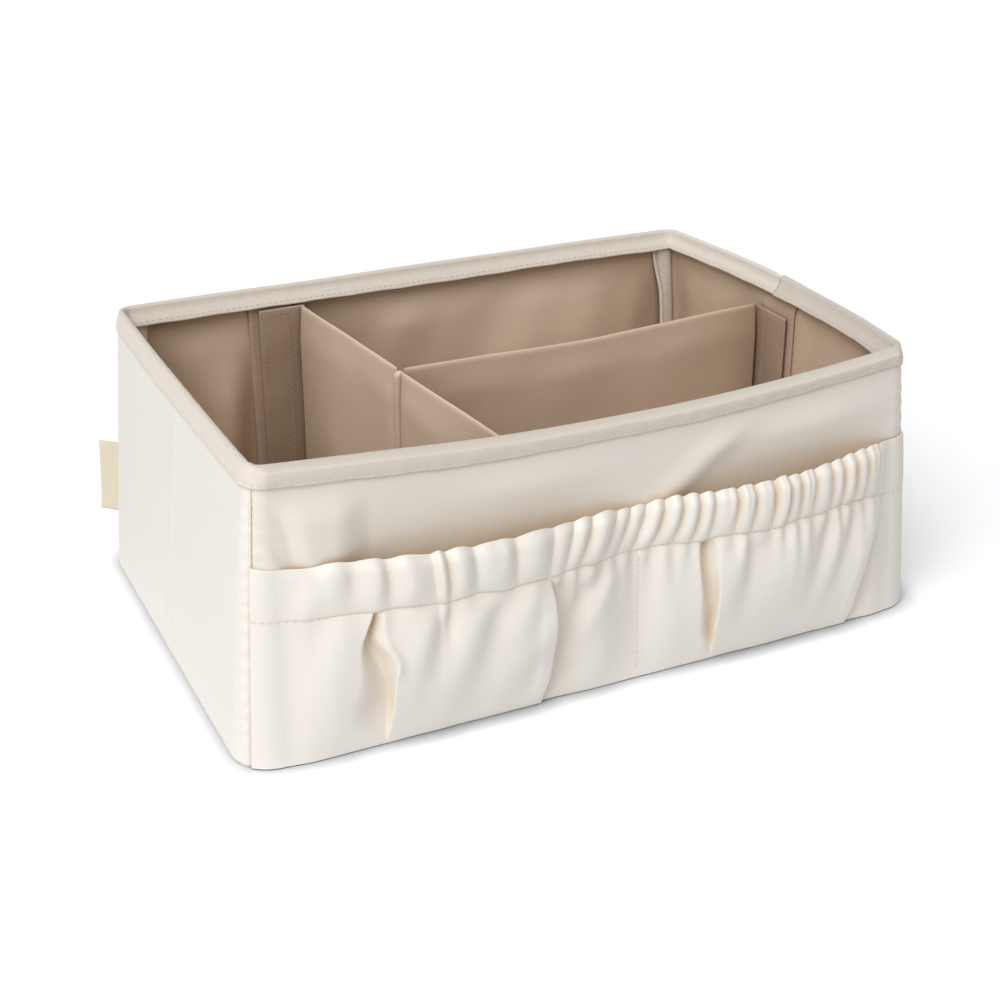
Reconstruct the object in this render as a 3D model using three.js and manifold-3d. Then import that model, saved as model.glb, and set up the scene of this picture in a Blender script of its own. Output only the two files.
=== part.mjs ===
// Open fabric caddy with a gathered front pocket and a lift-out padded divider.
// Millimetres, +Z up, front towards -Y, origin at the middle of the underside.
import * as THREE from 'three';
import { mergeVertices } from 'three/addons/utils/BufferGeometryUtils.js';
import Module from 'manifold-3d';

const wasm = await Module();
wasm.setup();

// The box: outer size at the base, and how the soft walls stand above it.
const BASE_LENGTH = 378;
const BASE_WIDTH = 247;
const HEIGHT = 147;
const BASE_CORNER = 20; // corner radius in plan, at the base
const RIM_CORNER = 9; // and at the rim
const ENDS_IN = 0.08; // share by which the binding draws in the rim along its length
const SIDES_IN = 0.031; // and across
const FRONT_LEAN = 7; // how far the front and rear rims lean in besides
const REAR_LEAN = 1;
const FRONT_BOW = 4; // outward bow of each wall at the rim
const FRONT_BOW_SKEW = 0.12; // the front bows more to the right
const FRONT_SAG = 6.5; // dip of the front rim at its middle
const REAR_BOW = 5;
const LEFT_BOW = 1;
const RIGHT_BOW = 9;

// Layers of a wall, from the outside in.
const SEAT = 0.3; // gap between pieces that lie on each other
const COVER = 0.8;
const BOARD = 2;
const LINING = 0.8;
const BASE_BOARD = 2.5;
const CREASE_GAP = 3; // between the two boards of a side
const CREASE_Y = 0; // the fold of a side

// Rim binding: a tape folded over the rim, lapped at the middle of the right side.
const TAPE = 0.8;
const TAPE_DROP = 13;
const TAPE_CROWN = 2.4;
const LAP_LENGTH = 14;

// Bound seams in the inner corners.
const FIN_WIDTH = 8;
const FIN_THICK = 2.4;

// Pocket: gathered cloth, folded over an elastic to a casing at the mouth.
const STITCH_X = 14.5; // centre stitch between the two pockets
const HEM_Z = 1.5; // bottom seam
const MOUTH_Z = 101;
const MOUTH_ROUND = 4.5; // where the fold over the mouth starts, below it
const END_RISE = 2; // the casing runs up towards both ends
const CASING = 25; // mouth to casing stitch
const CASING_OPENS = 6; // above its stitch the casing is open for the elastic
const LEFT_GAPE = 11; // how far each mouth stands off the wall
const RIGHT_GAPE = 11;
const RUFFLE = 1.6; // height of a gather on the casing
const RUFFLE_PITCH = 13.5;
const BLOUSE = 5; // how far the cloth between two pleats stands out
const PLEATS_X = [[-120, -36], [58, 151]]; // folded edges, one pair in each pocket
const PLEAT_WIDTH = 9;
const BLOUSE_LOW_Z = 12;
const BLOUSE_HIGH_Z = 38;
const ELASTIC_WIDTH = 16;
const ELASTIC = 1.2;

// Divider: three padded leaves sewn together along one upright seam.
const SEAM_X = -59.4;
const SEAM_Y = -4;
const SEAM_RADIUS = 4;
const LEAF_BOARD = 4;
const LEAF_DROP = 14; // top of the divider below the rim
const LEAF_ROUND = 2.4;
const CROSS_SKEW = THREE.MathUtils.degToRad(5.4);
const LONG_SKEW = THREE.MathUtils.degToRad(6);
const LIFT_CLEARANCE = 0.6;

// Hook tabs at the leaf ends and loop strips on the lining.
const TAB = 1.6;
const TAB_WIDTH = 24;
const HOOK = 1;
const HOOK_WIDTH = 18;
const HOOK_INSET = 2; // from the free edge of the tab
const HOOK_MARGIN = 3; // above and below
const LOOP = 1.2;
const STRIP_WIDTH = 30;
const STRIP_LIFT = 4; // above the floor

// Label in the rear left seam.
const LABEL_OUT = 12;
const LABEL_TALL = 41;
const LABEL_Z = 29;
const LABEL = 1.2;

const WALL = COVER + SEAT + BOARD + SEAT + LINING;
const FLOOR_Z = COVER + SEAT + BASE_BOARD + SEAT + LINING;
const PANEL_TOP = HEIGHT - TAPE_CROWN;
const HALF_L = BASE_LENGTH / 2;
const HALF_W = BASE_WIDTH / 2;
const LEAF_TOP = HEIGHT - LEAF_DROP;
const LEAF_BOTTOM = FLOOR_Z + SEAT;
const LEAF_THICK = LEAF_BOARD + 2 * (SEAT + LINING);
const SEAM_END = 1.97; // wall columns stop just short of the corner seam at 2

const { lerp, clamp, smoothstep } = THREE.MathUtils;

// Straight box to the box as it stands: rim drawn in, walls bowed, front rim dipped.
function settle(p) {
  const up = p.z / HEIGHT;
  const u = clamp(p.x / HALF_L, -1, 1);
  const v = clamp(p.y / HALF_W, -1, 1);
  const along = 1 - u * u;
  const across = 1 - v * v;
  const front = smoothstep(-v, 0.5, 0.85);
  const rear = smoothstep(v, 0.5, 0.85);
  const left = smoothstep(-u, 0.5, 0.85);
  const right = smoothstep(u, 0.5, 0.85);
  const bow = along * (1 + FRONT_BOW_SKEW * u);
  const frontOut = FRONT_BOW * bow - FRONT_LEAN;
  const rearOut = REAR_BOW * along - REAR_LEAN;
  return new THREE.Vector3(
    p.x * (1 - ENDS_IN * up) + up * across * (RIGHT_BOW * right - LEFT_BOW * left),
    p.y * (1 - SIDES_IN * up) + up * (rearOut * rear - frontOut * front),
    p.z * (1 - (FRONT_SAG / HEIGHT) * bow * front),
  );
}

const cornerAt = (z) => lerp(BASE_CORNER, RIM_CORNER, clamp(z / HEIGHT, 0, 1));

// A point of a wall. Columns from -1 to 1 are its flat part, out to -2 and 2 half a corner.
function onWall(side, column, z, depth) {
  const r = cornerAt(z);
  const flat = (side === 'front' || side === 'rear' ? HALF_L : HALF_W) - r;
  const turn = (Math.max(Math.abs(column) - 1, 0) * Math.PI) / 4;
  const x = Math.sign(column) * (Math.min(Math.abs(column), 1) * flat + (r - depth) * Math.sin(turn));
  const out = (r - depth) * Math.cos(turn) - r;
  if (side === 'front') return new THREE.Vector3(x, -HALF_W - out, z);
  if (side === 'rear') return new THREE.Vector3(-x, HALF_W + out, z);
  if (side === 'left') return new THREE.Vector3(-HALF_L - out, -x, z);
  return new THREE.Vector3(HALF_L + out, x, z);
}

function range(from, to, steps) {
  return Array.from({ length: steps + 1 }, (_, i) => lerp(from, to, i / steps));
}

// Columns that follow half a corner.
const RIGHT_TURN = [1.35, 1.65];
const LEFT_TURN = [-1.65, -1.35];

function wallColumns(steps) {
  return [-SEAM_END, ...LEFT_TURN, ...range(-1, 1, steps), ...RIGHT_TURN, SEAM_END];
}

// Closes two grids of points, a front face and a back face, to one solid.
function sheetSolid(front, back) {
  const rows = front.length;
  const cols = front[0].length;
  const points = [...front.flat(), ...back.flat()];
  const at = (i, j) => i * cols + j;
  const behind = (i, j) => rows * cols + at(i, j);
  const index = [];
  const quad = (a, b, c, d) => index.push(a, b, c, a, c, d);
  for (let i = 0; i < rows - 1; i++) {
    for (let j = 0; j < cols - 1; j++) {
      quad(at(i, j), at(i, j + 1), at(i + 1, j + 1), at(i + 1, j));
      quad(behind(i, j), behind(i + 1, j), behind(i + 1, j + 1), behind(i, j + 1));
    }
    quad(at(i, 0), at(i + 1, 0), behind(i + 1, 0), behind(i, 0));
    quad(at(i, cols - 1), behind(i, cols - 1), behind(i + 1, cols - 1), at(i + 1, cols - 1));
  }
  for (let j = 0; j < cols - 1; j++) {
    quad(at(0, j), behind(0, j), behind(0, j + 1), at(0, j + 1));
    quad(at(rows - 1, j), at(rows - 1, j + 1), behind(rows - 1, j + 1), behind(rows - 1, j));
  }
  const inward = points.length && volumeOf(points, index) < 0;
  if (inward) index.reverse();
  return new THREE.BufferGeometry().setFromPoints(points).setIndex(index);
}

function volumeOf(points, index) {
  let sum = 0;
  for (let i = 0; i < index.length; i += 3) {
    const [a, b, c] = [points[index[i]], points[index[i + 1]], points[index[i + 2]]];
    sum += a.dot(new THREE.Vector3().crossVectors(b, c));
  }
  return sum;
}

function settled(geometry) {
  const position = geometry.getAttribute('position');
  const p = new THREE.Vector3();
  for (let i = 0; i < position.count; i++) {
    const q = settle(p.fromBufferAttribute(position, i));
    position.setXYZ(i, q.x, q.y, q.z);
  }
  return geometry;
}

function toSolid(geometry) {
  const bare = new THREE.BufferGeometry();
  bare.setAttribute('position', geometry.getAttribute('position').clone());
  bare.setIndex(geometry.index);
  const merged = mergeVertices(bare, 1e-3);
  return new wasm.Manifold(
    new wasm.Mesh({
      numProp: 3,
      vertProperties: merged.attributes.position.array,
      triVerts: new Uint32Array(merged.index.array),
    }),
  );
}

function subtract(geometry, tool) {
  const mesh = toSolid(geometry).subtract(toSolid(tool)).getMesh();
  return new THREE.BufferGeometry()
    .setAttribute('position', new THREE.BufferAttribute(mesh.vertProperties, 3))
    .setIndex(new THREE.BufferAttribute(mesh.triVerts, 1));
}

// A box between two corners, with steps that let it follow the bow of the walls.
function block(x0, x1, y0, y1, z0, z1, stepsX = 1, stepsY = 1, stepsZ = 1) {
  const g = new THREE.BoxGeometry(x1 - x0, y1 - y0, z1 - z0, stepsX, stepsY, stepsZ);
  return g.translate((x0 + x1) / 2, (y0 + y1) / 2, (z0 + z1) / 2);
}

function roundedPlate(halfX, halfY, radius, z0, z1) {
  const shape = new THREE.Shape();
  shape.absarc(halfX - radius, halfY - radius, radius, 0, Math.PI / 2);
  shape.absarc(radius - halfX, halfY - radius, radius, Math.PI / 2, Math.PI);
  shape.absarc(radius - halfX, radius - halfY, radius, Math.PI, 1.5 * Math.PI);
  shape.absarc(halfX - radius, radius - halfY, radius, 1.5 * Math.PI, 2 * Math.PI);
  const g = new THREE.ExtrudeGeometry(shape, { depth: z1 - z0, bevelEnabled: false, curveSegments: 5 });
  return g.translate(0, 0, z0);
}

const satin = new THREE.MeshStandardMaterial({ name: 'cream_satin', color: 0xf3efe6, roughness: 0.5 });
const taupe = new THREE.MeshStandardMaterial({ name: 'taupe_lining', color: 0xa8917a, roughness: 0.6 });
const tapeCloth = new THREE.MeshStandardMaterial({ name: 'grosgrain', color: 0xddd2c6, roughness: 0.8 });
const boardSheet = new THREE.MeshStandardMaterial({ name: 'board', color: 0xe6e4de, roughness: 0.7 });
const rubber = new THREE.MeshStandardMaterial({ name: 'elastic', color: 0xf0ece4, roughness: 0.9 });
const hookLoop = new THREE.MeshStandardMaterial({ name: 'hook_loop', color: 0x9c846c, roughness: 0.9 });
const cotton = new THREE.MeshStandardMaterial({ name: 'label_cotton', color: 0xf3e8d6, roughness: 0.8 });

const caddy = new THREE.Group();
caddy.name = 'caddy';

function add(name, geometry, material) {
  const mesh = new THREE.Mesh(geometry, material);
  mesh.name = name;
  caddy.add(mesh);
}

// Outer cover: four wall panels that meet at the corner seams, and the base panel.
const SIDES = ['front', 'rear', 'left', 'right'];
const BOW_STEPS = { front: 14, rear: 12, left: 12, right: 12 };
const RISE_STEPS = 4;
function wallSheet(side, near, far, bottom) {
  const columns = wallColumns(BOW_STEPS[side]);
  const rows = range(bottom, PANEL_TOP, RISE_STEPS);
  const face = (depth) => rows.map((z) => columns.map((c) => settle(onWall(side, c, z, depth))));
  return sheetSolid(face(near), face(far));
}
for (const side of SIDES) {
  add(`outer_${side}`, wallSheet(side, 0, COVER, 0), satin);
}
const baseInset = COVER + SEAT;
add(
  'outer_base',
  roundedPlate(HALF_L - baseInset, HALF_W - baseInset, BASE_CORNER - baseInset, 0, COVER),
  satin,
);

// Stiffener boards between cover and lining: the sides are halved at their fold.
const boardFace = COVER + SEAT;
const boardBack = boardFace + BOARD;
const boardZ = COVER + SEAT;
const endX = HALF_L - BASE_CORNER;
const endY = HALF_W - BASE_CORNER;
for (const [side, way] of [['front', -1], ['rear', 1]]) {
  const ys = [way * (HALF_W - boardFace), way * (HALF_W - boardBack)].sort((a, b) => a - b);
  const g = block(-endX, endX, ...ys, boardZ, PANEL_TOP, BOW_STEPS[side], 1, RISE_STEPS);
  add(`board_${side}`, settled(g), boardSheet);
}
for (const [side, way] of [['left', -1], ['right', 1]]) {
  const xs = [way * (HALF_L - boardFace), way * (HALF_L - boardBack)].sort((a, b) => a - b);
  const fold = [CREASE_Y - CREASE_GAP / 2, CREASE_Y + CREASE_GAP / 2];
  const steps = BOW_STEPS[side] / 2;
  const fore = block(...xs, -endY, fold[0], boardZ, PANEL_TOP, 1, steps, RISE_STEPS);
  const hind = block(...xs, fold[1], endY, boardZ, PANEL_TOP, 1, steps, RISE_STEPS);
  add(`board_${side}_front`, settled(fore), boardSheet);
  add(`board_${side}_rear`, settled(hind), boardSheet);
}
const boardEdge = boardBack + SEAT;
const boardTop = boardZ + BASE_BOARD;
add(
  'board_base',
  settled(roundedPlate(HALF_L - boardEdge, HALF_W - boardEdge, BASE_CORNER - boardEdge, boardZ, boardTop)),
  boardSheet,
);

// Lining: four panels that meet at the inner corner seams, and the floor.
const liningFace = WALL - LINING;
const liningZ = boardTop + SEAT;
for (const side of SIDES) {
  add(`lining_${side}`, wallSheet(side, liningFace, WALL, liningZ), taupe);
}
const floorEdge = WALL + SEAT;
add(
  'lining_base',
  settled(roundedPlate(HALF_L - floorEdge, HALF_W - floorEdge, BASE_CORNER - floorEdge, liningZ, FLOOR_Z)),
  taupe,
);

// Rim binding: the folded section swept round the rim, its end lapped over its start.
function tapePoint([side, column, lift], angle, leg, inner) {
  const reach = WALL / 2 + SEAT + (inner ? 0 : TAPE) + lift;
  const crown = TAPE_CROWN - (inner ? TAPE : 0) + lift;
  const depth = WALL / 2 - reach * Math.cos(angle);
  const z = HEIGHT - TAPE_CROWN + crown * Math.sin(angle) - leg;
  return settle(onWall(side, column, z, depth));
}
const lapHalf = LAP_LENGTH / (2 * (HALF_W - RIM_CORNER));
const lapLift = TAPE + SEAT;
const along = (side, columns) => columns.map((c) => [side, c, 0]);
const wholeSide = (side) => along(side, [-2, ...LEFT_TURN, ...range(-1, 1, BOW_STEPS[side]), ...RIGHT_TURN]);
const tapePath = [
  ...along('right', [-lapHalf, lapHalf, 0.25, 0.5, 0.75, 1, ...RIGHT_TURN]),
  ...wholeSide('rear'),
  ...wholeSide('left'),
  ...wholeSide('front'),
  ...along('right', [-2, ...LEFT_TURN, -1, -0.75, -0.5, -0.25, -lapHalf - 0.05]),
  ['right', -lapHalf - 0.012, lapLift],
  ['right', lapHalf, lapLift],
];
const straightLeg = TAPE_DROP - TAPE_CROWN;
const tapeSection = [[0, straightLeg], ...range(0, Math.PI, 5).map((a) => [a, 0]), [Math.PI, straightLeg]];
const tapeFace = (inner) => tapeSection.map(([a, leg]) => tapePath.map((q) => tapePoint(q, a, leg, inner)));
add('rim_binding', sheetSolid(tapeFace(false), tapeFace(true)), tapeCloth);

// Bound corner seams: a fin from each inner corner towards the middle.
const finTop = HEIGHT - TAPE_DROP - SEAT;
const finBottom = FLOOR_Z + SEAT;
function fin(wx, wy) {
  const half = FIN_THICK / 2;
  const face = (way) =>
    range(finBottom, finTop, 2).map((z) => {
      const r = cornerAt(z);
      const root = Math.sqrt((r - WALL - SEAT) ** 2 - half ** 2);
      return [root, root - FIN_WIDTH].map((t) => {
        const x = wx * (HALF_L - r + (t - way * half) * Math.SQRT1_2);
        const y = wy * (HALF_W - r + (t + way * half) * Math.SQRT1_2);
        return settle(new THREE.Vector3(x, y, z));
      });
    });
  return sheetSolid(face(1), face(-1));
}
for (const [row, wy] of [['front', -1], ['rear', 1]]) {
  for (const [end, wx] of [['left', -1], ['right', 1]]) {
    add(`corner_binding_${row}_${end}`, fin(wx, wy), tapeCloth);
  }
}

// Pocket cloth and elastic, one of each on either side of the centre stitch.
const STITCH_Z = MOUTH_Z - CASING;
const CASING_Z = STITCH_Z + CASING_OPENS;
const CROWN_Z = MOUTH_Z - MOUTH_ROUND;
const onCloth = SEAT + COVER / 2; // middle of a cloth that lies on another
const flatTunnel = SEAT + COVER + SEAT + ELASTIC / 2; // middle of the elastic where sewn flat

function pocket(name, from, to, gape) {
  const start = from < -1 ? -1 : from;
  const end = to > 1 ? 1 : to;
  const flat = HALF_L - cornerAt(STITCH_Z);
  const gathers = Math.round(((end - start) * flat) / RUFFLE_PITCH);
  const columns = range(start, end, 3 * gathers).map((c, i) => ({
    c,
    wave: i % 3 ? -0.5 : 1,
    share: i / (3 * gathers),
  }));
  const sewnFlat = (turn, share) => turn.map((c) => ({ c, wave: 0, share }));
  if (from < -1) columns.unshift(...sewnFlat([from, ...LEFT_TURN], 0));
  if (to > 1) columns.push(...sewnFlat([...RIGHT_TURN, to], 1));
  const open = (share) => smoothstep(Math.min(share, 1 - share), 0, 0.12);
  const stand = (share) => gape * Math.sin(Math.PI * share) ** 0.8;
  const between = (x, [a, b]) =>
    smoothstep(x, a, a + PLEAT_WIDTH) * smoothstep(-x, -b, PLEAT_WIDTH - b);
  const blouse = (c) => BLOUSE * PLEATS_X.reduce((sum, pair) => sum + between(c * flat, pair), 0);
  const bulge = ({ c, share }) => stand(share) + blouse(c) * open(share);
  const tunnel = ({ share }) => flatTunnel + stand(share);
  const layer = ELASTIC / 2 + SEAT + COVER / 2;
  const outer = (q) => tunnel(q) + layer + open(q.share) * RUFFLE * (0.5 + q.wave);
  const inner = (q) => tunnel(q) - layer - open(q.share) * RUFFLE * 0.4 * (0.5 + q.wave);
  const meet = (SEAT + COVER) / 2;
  const belly = (q) => onCloth + bulge(q) + 0.3 * RUFFLE * q.wave * open(q.share);
  const rise = ({ c }, z) => z + END_RISE * Math.min(1, c ** 4) * smoothstep(z, BLOUSE_HIGH_Z, STITCH_Z);
  // Rows of the folded section: height, distance off the wall, and the way out of the cloth.
  const rows = [
    [HEM_Z, () => onCloth, 1, 0],
    [BLOUSE_LOW_Z, (q) => onCloth + 0.6 * bulge(q), 1, 0],
    [BLOUSE_HIGH_Z, belly, 1, 0],
    [STITCH_Z, (q) => tunnel(q) + meet, 1, 0],
    [CASING_Z, outer, 1, 0],
    [CROWN_Z, outer, 1, 0],
    [MOUTH_Z, tunnel, 0, 1],
    [CROWN_Z, inner, -1, 0],
    [CASING_Z, inner, -1, 0],
    [STITCH_Z + SEAT, (q) => tunnel(q) - meet, -1, 0],
  ];
  const half = COVER / 2;
  const onFront = (q, z, off) => settle(onWall('front', q.c, rise(q, z), -off));
  const face = (way) =>
    rows.map(([z, off, nOut, nUp]) =>
      columns.map((q) => onFront(q, z + way * half * nUp, off(q) + way * half * nOut)),
    );
  add(`pocket_${name}`, sheetSolid(face(1), face(-1)), satin);
  const band = columns.filter((q) => Math.abs(q.c) <= 1);
  const mid = (CASING_Z + CROWN_Z) / 2;
  const bandFace = (way) =>
    [mid - ELASTIC_WIDTH / 2, mid + ELASTIC_WIDTH / 2].map((z) =>
      band.map((q) => onFront(q, z, tunnel(q) + (way * ELASTIC) / 2)),
    );
  add(`elastic_${name}`, sheetSolid(bandFace(1), bandFace(-1)), rubber);
}
const stitchColumn = STITCH_X / (HALF_L - cornerAt(STITCH_Z));
const stitchGap = SEAT / (2 * HALF_L);
pocket('left', -SEAM_END, stitchColumn - 2 * stitchGap, LEFT_GAPE);
pocket('right', stitchColumn + 2 * stitchGap, SEAM_END, RIGHT_GAPE);

// How far the divider may reach to a wall at one place along it, and still lift past the rim.
const stripBottom = FLOOR_Z + STRIP_LIFT;
const stripTop = HEIGHT - TAPE_DROP - 2 * SEAT;
const stripFace = WALL + SEAT + LOOP;
function reachAt(x, y, axis) {
  const inwards = (depth, z) => {
    const q = new THREE.Vector3(x, y, z);
    q[axis] = Math.sign(q[axis]) * ((axis === 'x' ? HALF_L : HALF_W) - depth);
    return Math.abs(settle(q)[axis]);
  };
  const rim = inwards(WALL + SEAT + TAPE + (axis === 'x' ? lapLift : 0), HEIGHT);
  return Math.min(rim, inwards(stripFace, stripBottom), inwards(stripFace, stripTop)) - LIFT_CLEARANCE;
}
const leafHalf = LEAF_THICK / 2;
const tabRoot = TAB / 2 + SEAT; // leaf face to tab hinge

// A leaf: a sleeve with a rounded top, open below, over a foam board.
function leaf(name, length, angle) {
  const root = SEAM_RADIUS + 2 * SEAT;
  const tall = LEAF_TOP - LEAF_BOTTOM;
  const section = new THREE.Shape();
  section.moveTo(-leafHalf, 0);
  section.lineTo(leafHalf, 0);
  section.absarc(leafHalf - LEAF_ROUND, tall - LEAF_ROUND, LEAF_ROUND, 0, Math.PI / 2);
  section.absarc(LEAF_ROUND - leafHalf, tall - LEAF_ROUND, LEAF_ROUND, Math.PI / 2, Math.PI);
  const sweep = { depth: length - root, bevelEnabled: false, curveSegments: 4 };
  const body = new THREE.ExtrudeGeometry(section, sweep);
  body.rotateX(Math.PI / 2).rotateZ(Math.PI / 2).translate(root, 0, LEAF_BOTTOM);
  const inside = LEAF_BOARD / 2 + SEAT;
  const edge = root + LINING;
  const hollowTop = LEAF_TOP - LINING - SEAT;
  const hollow = block(edge, length - LINING, -inside, inside, LEAF_BOTTOM - 1, hollowTop);
  const place = (g) => g.rotateZ(angle).translate(SEAM_X, SEAM_Y, 0);
  add(`${name}_leaf_cover`, place(subtract(body, hollow)), taupe);
  const foam = block(
    edge + SEAT, length - LINING - SEAT, -LEAF_BOARD / 2, LEAF_BOARD / 2,
    LEAF_BOTTOM + SEAT, hollowTop - SEAT,
  );
  add(`${name}_leaf_board`, place(foam), boardSheet);
}

// A tab: a plate with a rounded root at the hinge, and its hook tape on the wall side.
function tab(name, hinge, angle, wallSide) {
  const tall = LEAF_TOP - LEAF_BOTTOM - 2 * LEAF_ROUND;
  const outline = new THREE.Shape();
  outline.absarc(0, 0, TAB / 2, Math.PI / 2, 1.5 * Math.PI);
  outline.lineTo(TAB_WIDTH, -TAB / 2);
  outline.lineTo(TAB_WIDTH, TAB / 2);
  const plate = new THREE.ExtrudeGeometry(outline, { depth: tall, bevelEnabled: false, curveSegments: 6 });
  const near = TAB_WIDTH - HOOK_WIDTH - HOOK_INSET;
  const faces = [wallSide * (TAB / 2 + SEAT), wallSide * (TAB / 2 + SEAT + HOOK)].sort((a, b) => a - b);
  const hooks = block(near, near + HOOK_WIDTH, ...faces, HOOK_MARGIN, tall - HOOK_MARGIN);
  const place = (g) => g.rotateZ(angle).translate(hinge.x, hinge.y, LEAF_BOTTOM);
  add(`tab_${name}`, place(plate), taupe);
  add(`hook_tape_${name}`, place(hooks), hookLoop);
}

// A loop strip on the lining, from one place along a wall to another.
function loopStrip(name, x0, x1, y0, y1) {
  const steps = y1 - y0 > x1 - x0 ? [1, 3] : [3, 1];
  const g = block(x0, x1, y0, y1, stripBottom, stripTop, ...steps);
  add(`loop_strip_${name}`, settled(g), hookLoop);
}

const spine = new THREE.CylinderGeometry(SEAM_RADIUS, SEAM_RADIUS, LEAF_TOP - LEAF_BOTTOM - 1, 12);
spine.rotateX(Math.PI / 2).translate(SEAM_X, SEAM_Y, (LEAF_TOP + LEAF_BOTTOM) / 2);
add('divider_seam', spine, taupe);

const tabMiddle = HOOK + SEAT + TAB / 2; // wall reach to the tab's middle
for (const [name, way] of [['rear', 1], ['front', -1]]) {
  const across = Math.tan(CROSS_SKEW);
  const farX = SEAM_X - (way * HALF_W - SEAM_Y) * across - leafHalf - tabRoot - TAB_WIDTH;
  const reach = reachAt(farX, way, 'y');
  const length = (reach - way * SEAM_Y - TAB - leafHalf * Math.sin(CROSS_SKEW)) / Math.cos(CROSS_SKEW);
  leaf(name, length, way * (Math.PI / 2) + CROSS_SKEW);
  const y = way * (reach - tabMiddle);
  const x = SEAM_X - (y - SEAM_Y) * across - (leafHalf + tabRoot) / Math.cos(CROSS_SKEW);
  tab(name, new THREE.Vector2(x, y), Math.PI, -way);
  const ys = [way * (HALF_W - WALL - SEAT), way * (HALF_W - stripFace)].sort((a, b) => a - b);
  const edge = (x + TAB) / (1 - ENDS_IN * (LEAF_TOP / HEIGHT));
  loopStrip(name, edge - STRIP_WIDTH, edge, ...ys);
}
{
  const along = Math.tan(LONG_SKEW);
  const reach = reachAt(1, 0, 'x');
  const length = (reach - TAB - SEAM_X - leafHalf * Math.sin(LONG_SKEW)) / Math.cos(LONG_SKEW);
  leaf('long', length, LONG_SKEW);
  const x = reach - tabMiddle;
  const y = SEAM_Y + (x - SEAM_X) * along - (leafHalf + tabRoot) / Math.cos(LONG_SKEW);
  tab('right', new THREE.Vector2(x, y), -Math.PI / 2, 1);
  loopStrip('right', HALF_L - stripFace, HALF_L - WALL - SEAT, y + TAB - STRIP_WIDTH, y + TAB);
}

// Label: a flat folded loop that stands out of the rear left corner seam.
const labelFace = (way) =>
  [LABEL_Z, LABEL_Z + LABEL_TALL].map((z) =>
    [2 * SEAT, LABEL_OUT].map((out) => {
      const seam = settle(onWall('rear', 2, z, 0));
      const across = (way * LABEL) / 2;
      seam.x -= (out + across) * Math.SQRT1_2;
      seam.y += (out - across) * Math.SQRT1_2;
      return seam;
    }),
  );
add('side_label', sheetSolid(labelFace(1), labelFace(-1)), cotton);

export default caddy;
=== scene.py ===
# %% [markdown]
# # A fabric nursery caddy
# An open box of cream satin outside and taupe lining inside, stiffened with boards.
# Its rim is bound with ribbed tape, its front carries a pocket gathered on elastic,
# and a padded divider stands inside, held to the walls by hook-and-loop tabs.
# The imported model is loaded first: it fixes where every piece sits and what moves.

import bmesh
import bpy
import numpy as np
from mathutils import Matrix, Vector


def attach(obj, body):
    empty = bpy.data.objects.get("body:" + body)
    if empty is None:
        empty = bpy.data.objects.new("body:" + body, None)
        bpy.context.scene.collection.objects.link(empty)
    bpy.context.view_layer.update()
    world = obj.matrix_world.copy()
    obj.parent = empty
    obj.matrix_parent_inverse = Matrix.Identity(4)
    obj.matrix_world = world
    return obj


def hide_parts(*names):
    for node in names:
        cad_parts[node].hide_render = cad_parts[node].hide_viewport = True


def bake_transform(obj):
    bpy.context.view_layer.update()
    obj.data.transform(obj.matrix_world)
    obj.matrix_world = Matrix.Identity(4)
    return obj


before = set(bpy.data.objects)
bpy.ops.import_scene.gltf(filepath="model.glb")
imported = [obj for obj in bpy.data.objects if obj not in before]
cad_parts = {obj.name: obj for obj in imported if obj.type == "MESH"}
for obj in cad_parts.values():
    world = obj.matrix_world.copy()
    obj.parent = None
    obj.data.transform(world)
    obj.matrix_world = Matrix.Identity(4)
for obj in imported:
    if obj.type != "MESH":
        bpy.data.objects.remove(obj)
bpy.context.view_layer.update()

# %% [markdown]
# ## Sizes
# All lengths are in millimetres, as a sewer would note them, and become metres only
# when a mesh is made. The box is 378 x 247 mm at its base and 147 mm high.

# %% Sizes of the box, its layers and its tape
MM = 0.001
UP = np.array([0, 0, 1.0])
HALF_L, HALF_W, HEIGHT = 189.0, 123.5, 147.0
WALLS = {"front": HALF_L, "rear": HALF_L, "left": HALF_W, "right": HALF_W}  # half lengths
BASE_CORNER, RIM_CORNER = 20.0, 9.0
ENDS_IN, SIDES_IN, FRONT_LEAN, REAR_LEAN = 0.08, 0.031, 7.0, 1.0
FRONT_BOW, FRONT_BOW_SKEW, FRONT_SAG, REAR_SAG = 4.0, 0.12, 8.0, 1.6
REAR_BOW, LEFT_BOW, RIGHT_BOW = 5.0, 1.0, 9.0
SEAT, COVER, BOARD, LINING, BASE_BOARD = 0.3, 0.8, 2.0, 0.8, 2.5
WALL = COVER + SEAT + BOARD + SEAT + LINING
FLOOR_Z = COVER + SEAT + BASE_BOARD + SEAT + LINING
TAPE, TAPE_DROP, TAPE_CROWN = 0.8, 10.4, 2.4
PANEL_TOP = HEIGHT - TAPE_CROWN
CLOTH_TOP = PANEL_TOP - 5.2  # the wall cloths end here, under the tape
print("a wall is", WALL, "mm thick")

# %% [markdown]
# ## How the soft box stands
# A sewn box is never a true block: the binding draws the rim in, the walls bow and the
# front rim sags. One function bends straight box coordinates to the box as it stands,
# so that every layer, tape and stitch bends together and stays seated on its neighbour.


# %% From a straight box to the standing one
def ramp(x, a, b):
    """0 up to a, 1 from b on, and 3t^2 - 2t^3 of the share t in between."""
    t = np.clip((np.asarray(x, float) - a) / (b - a), 0, 1)
    return t * t * (3 - 2 * t)


def hump(x, middle, width):
    """A bell of height 1: e to the minus square of the distance in widths."""
    return np.exp(-(((x - middle) / width) ** 2))


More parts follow.
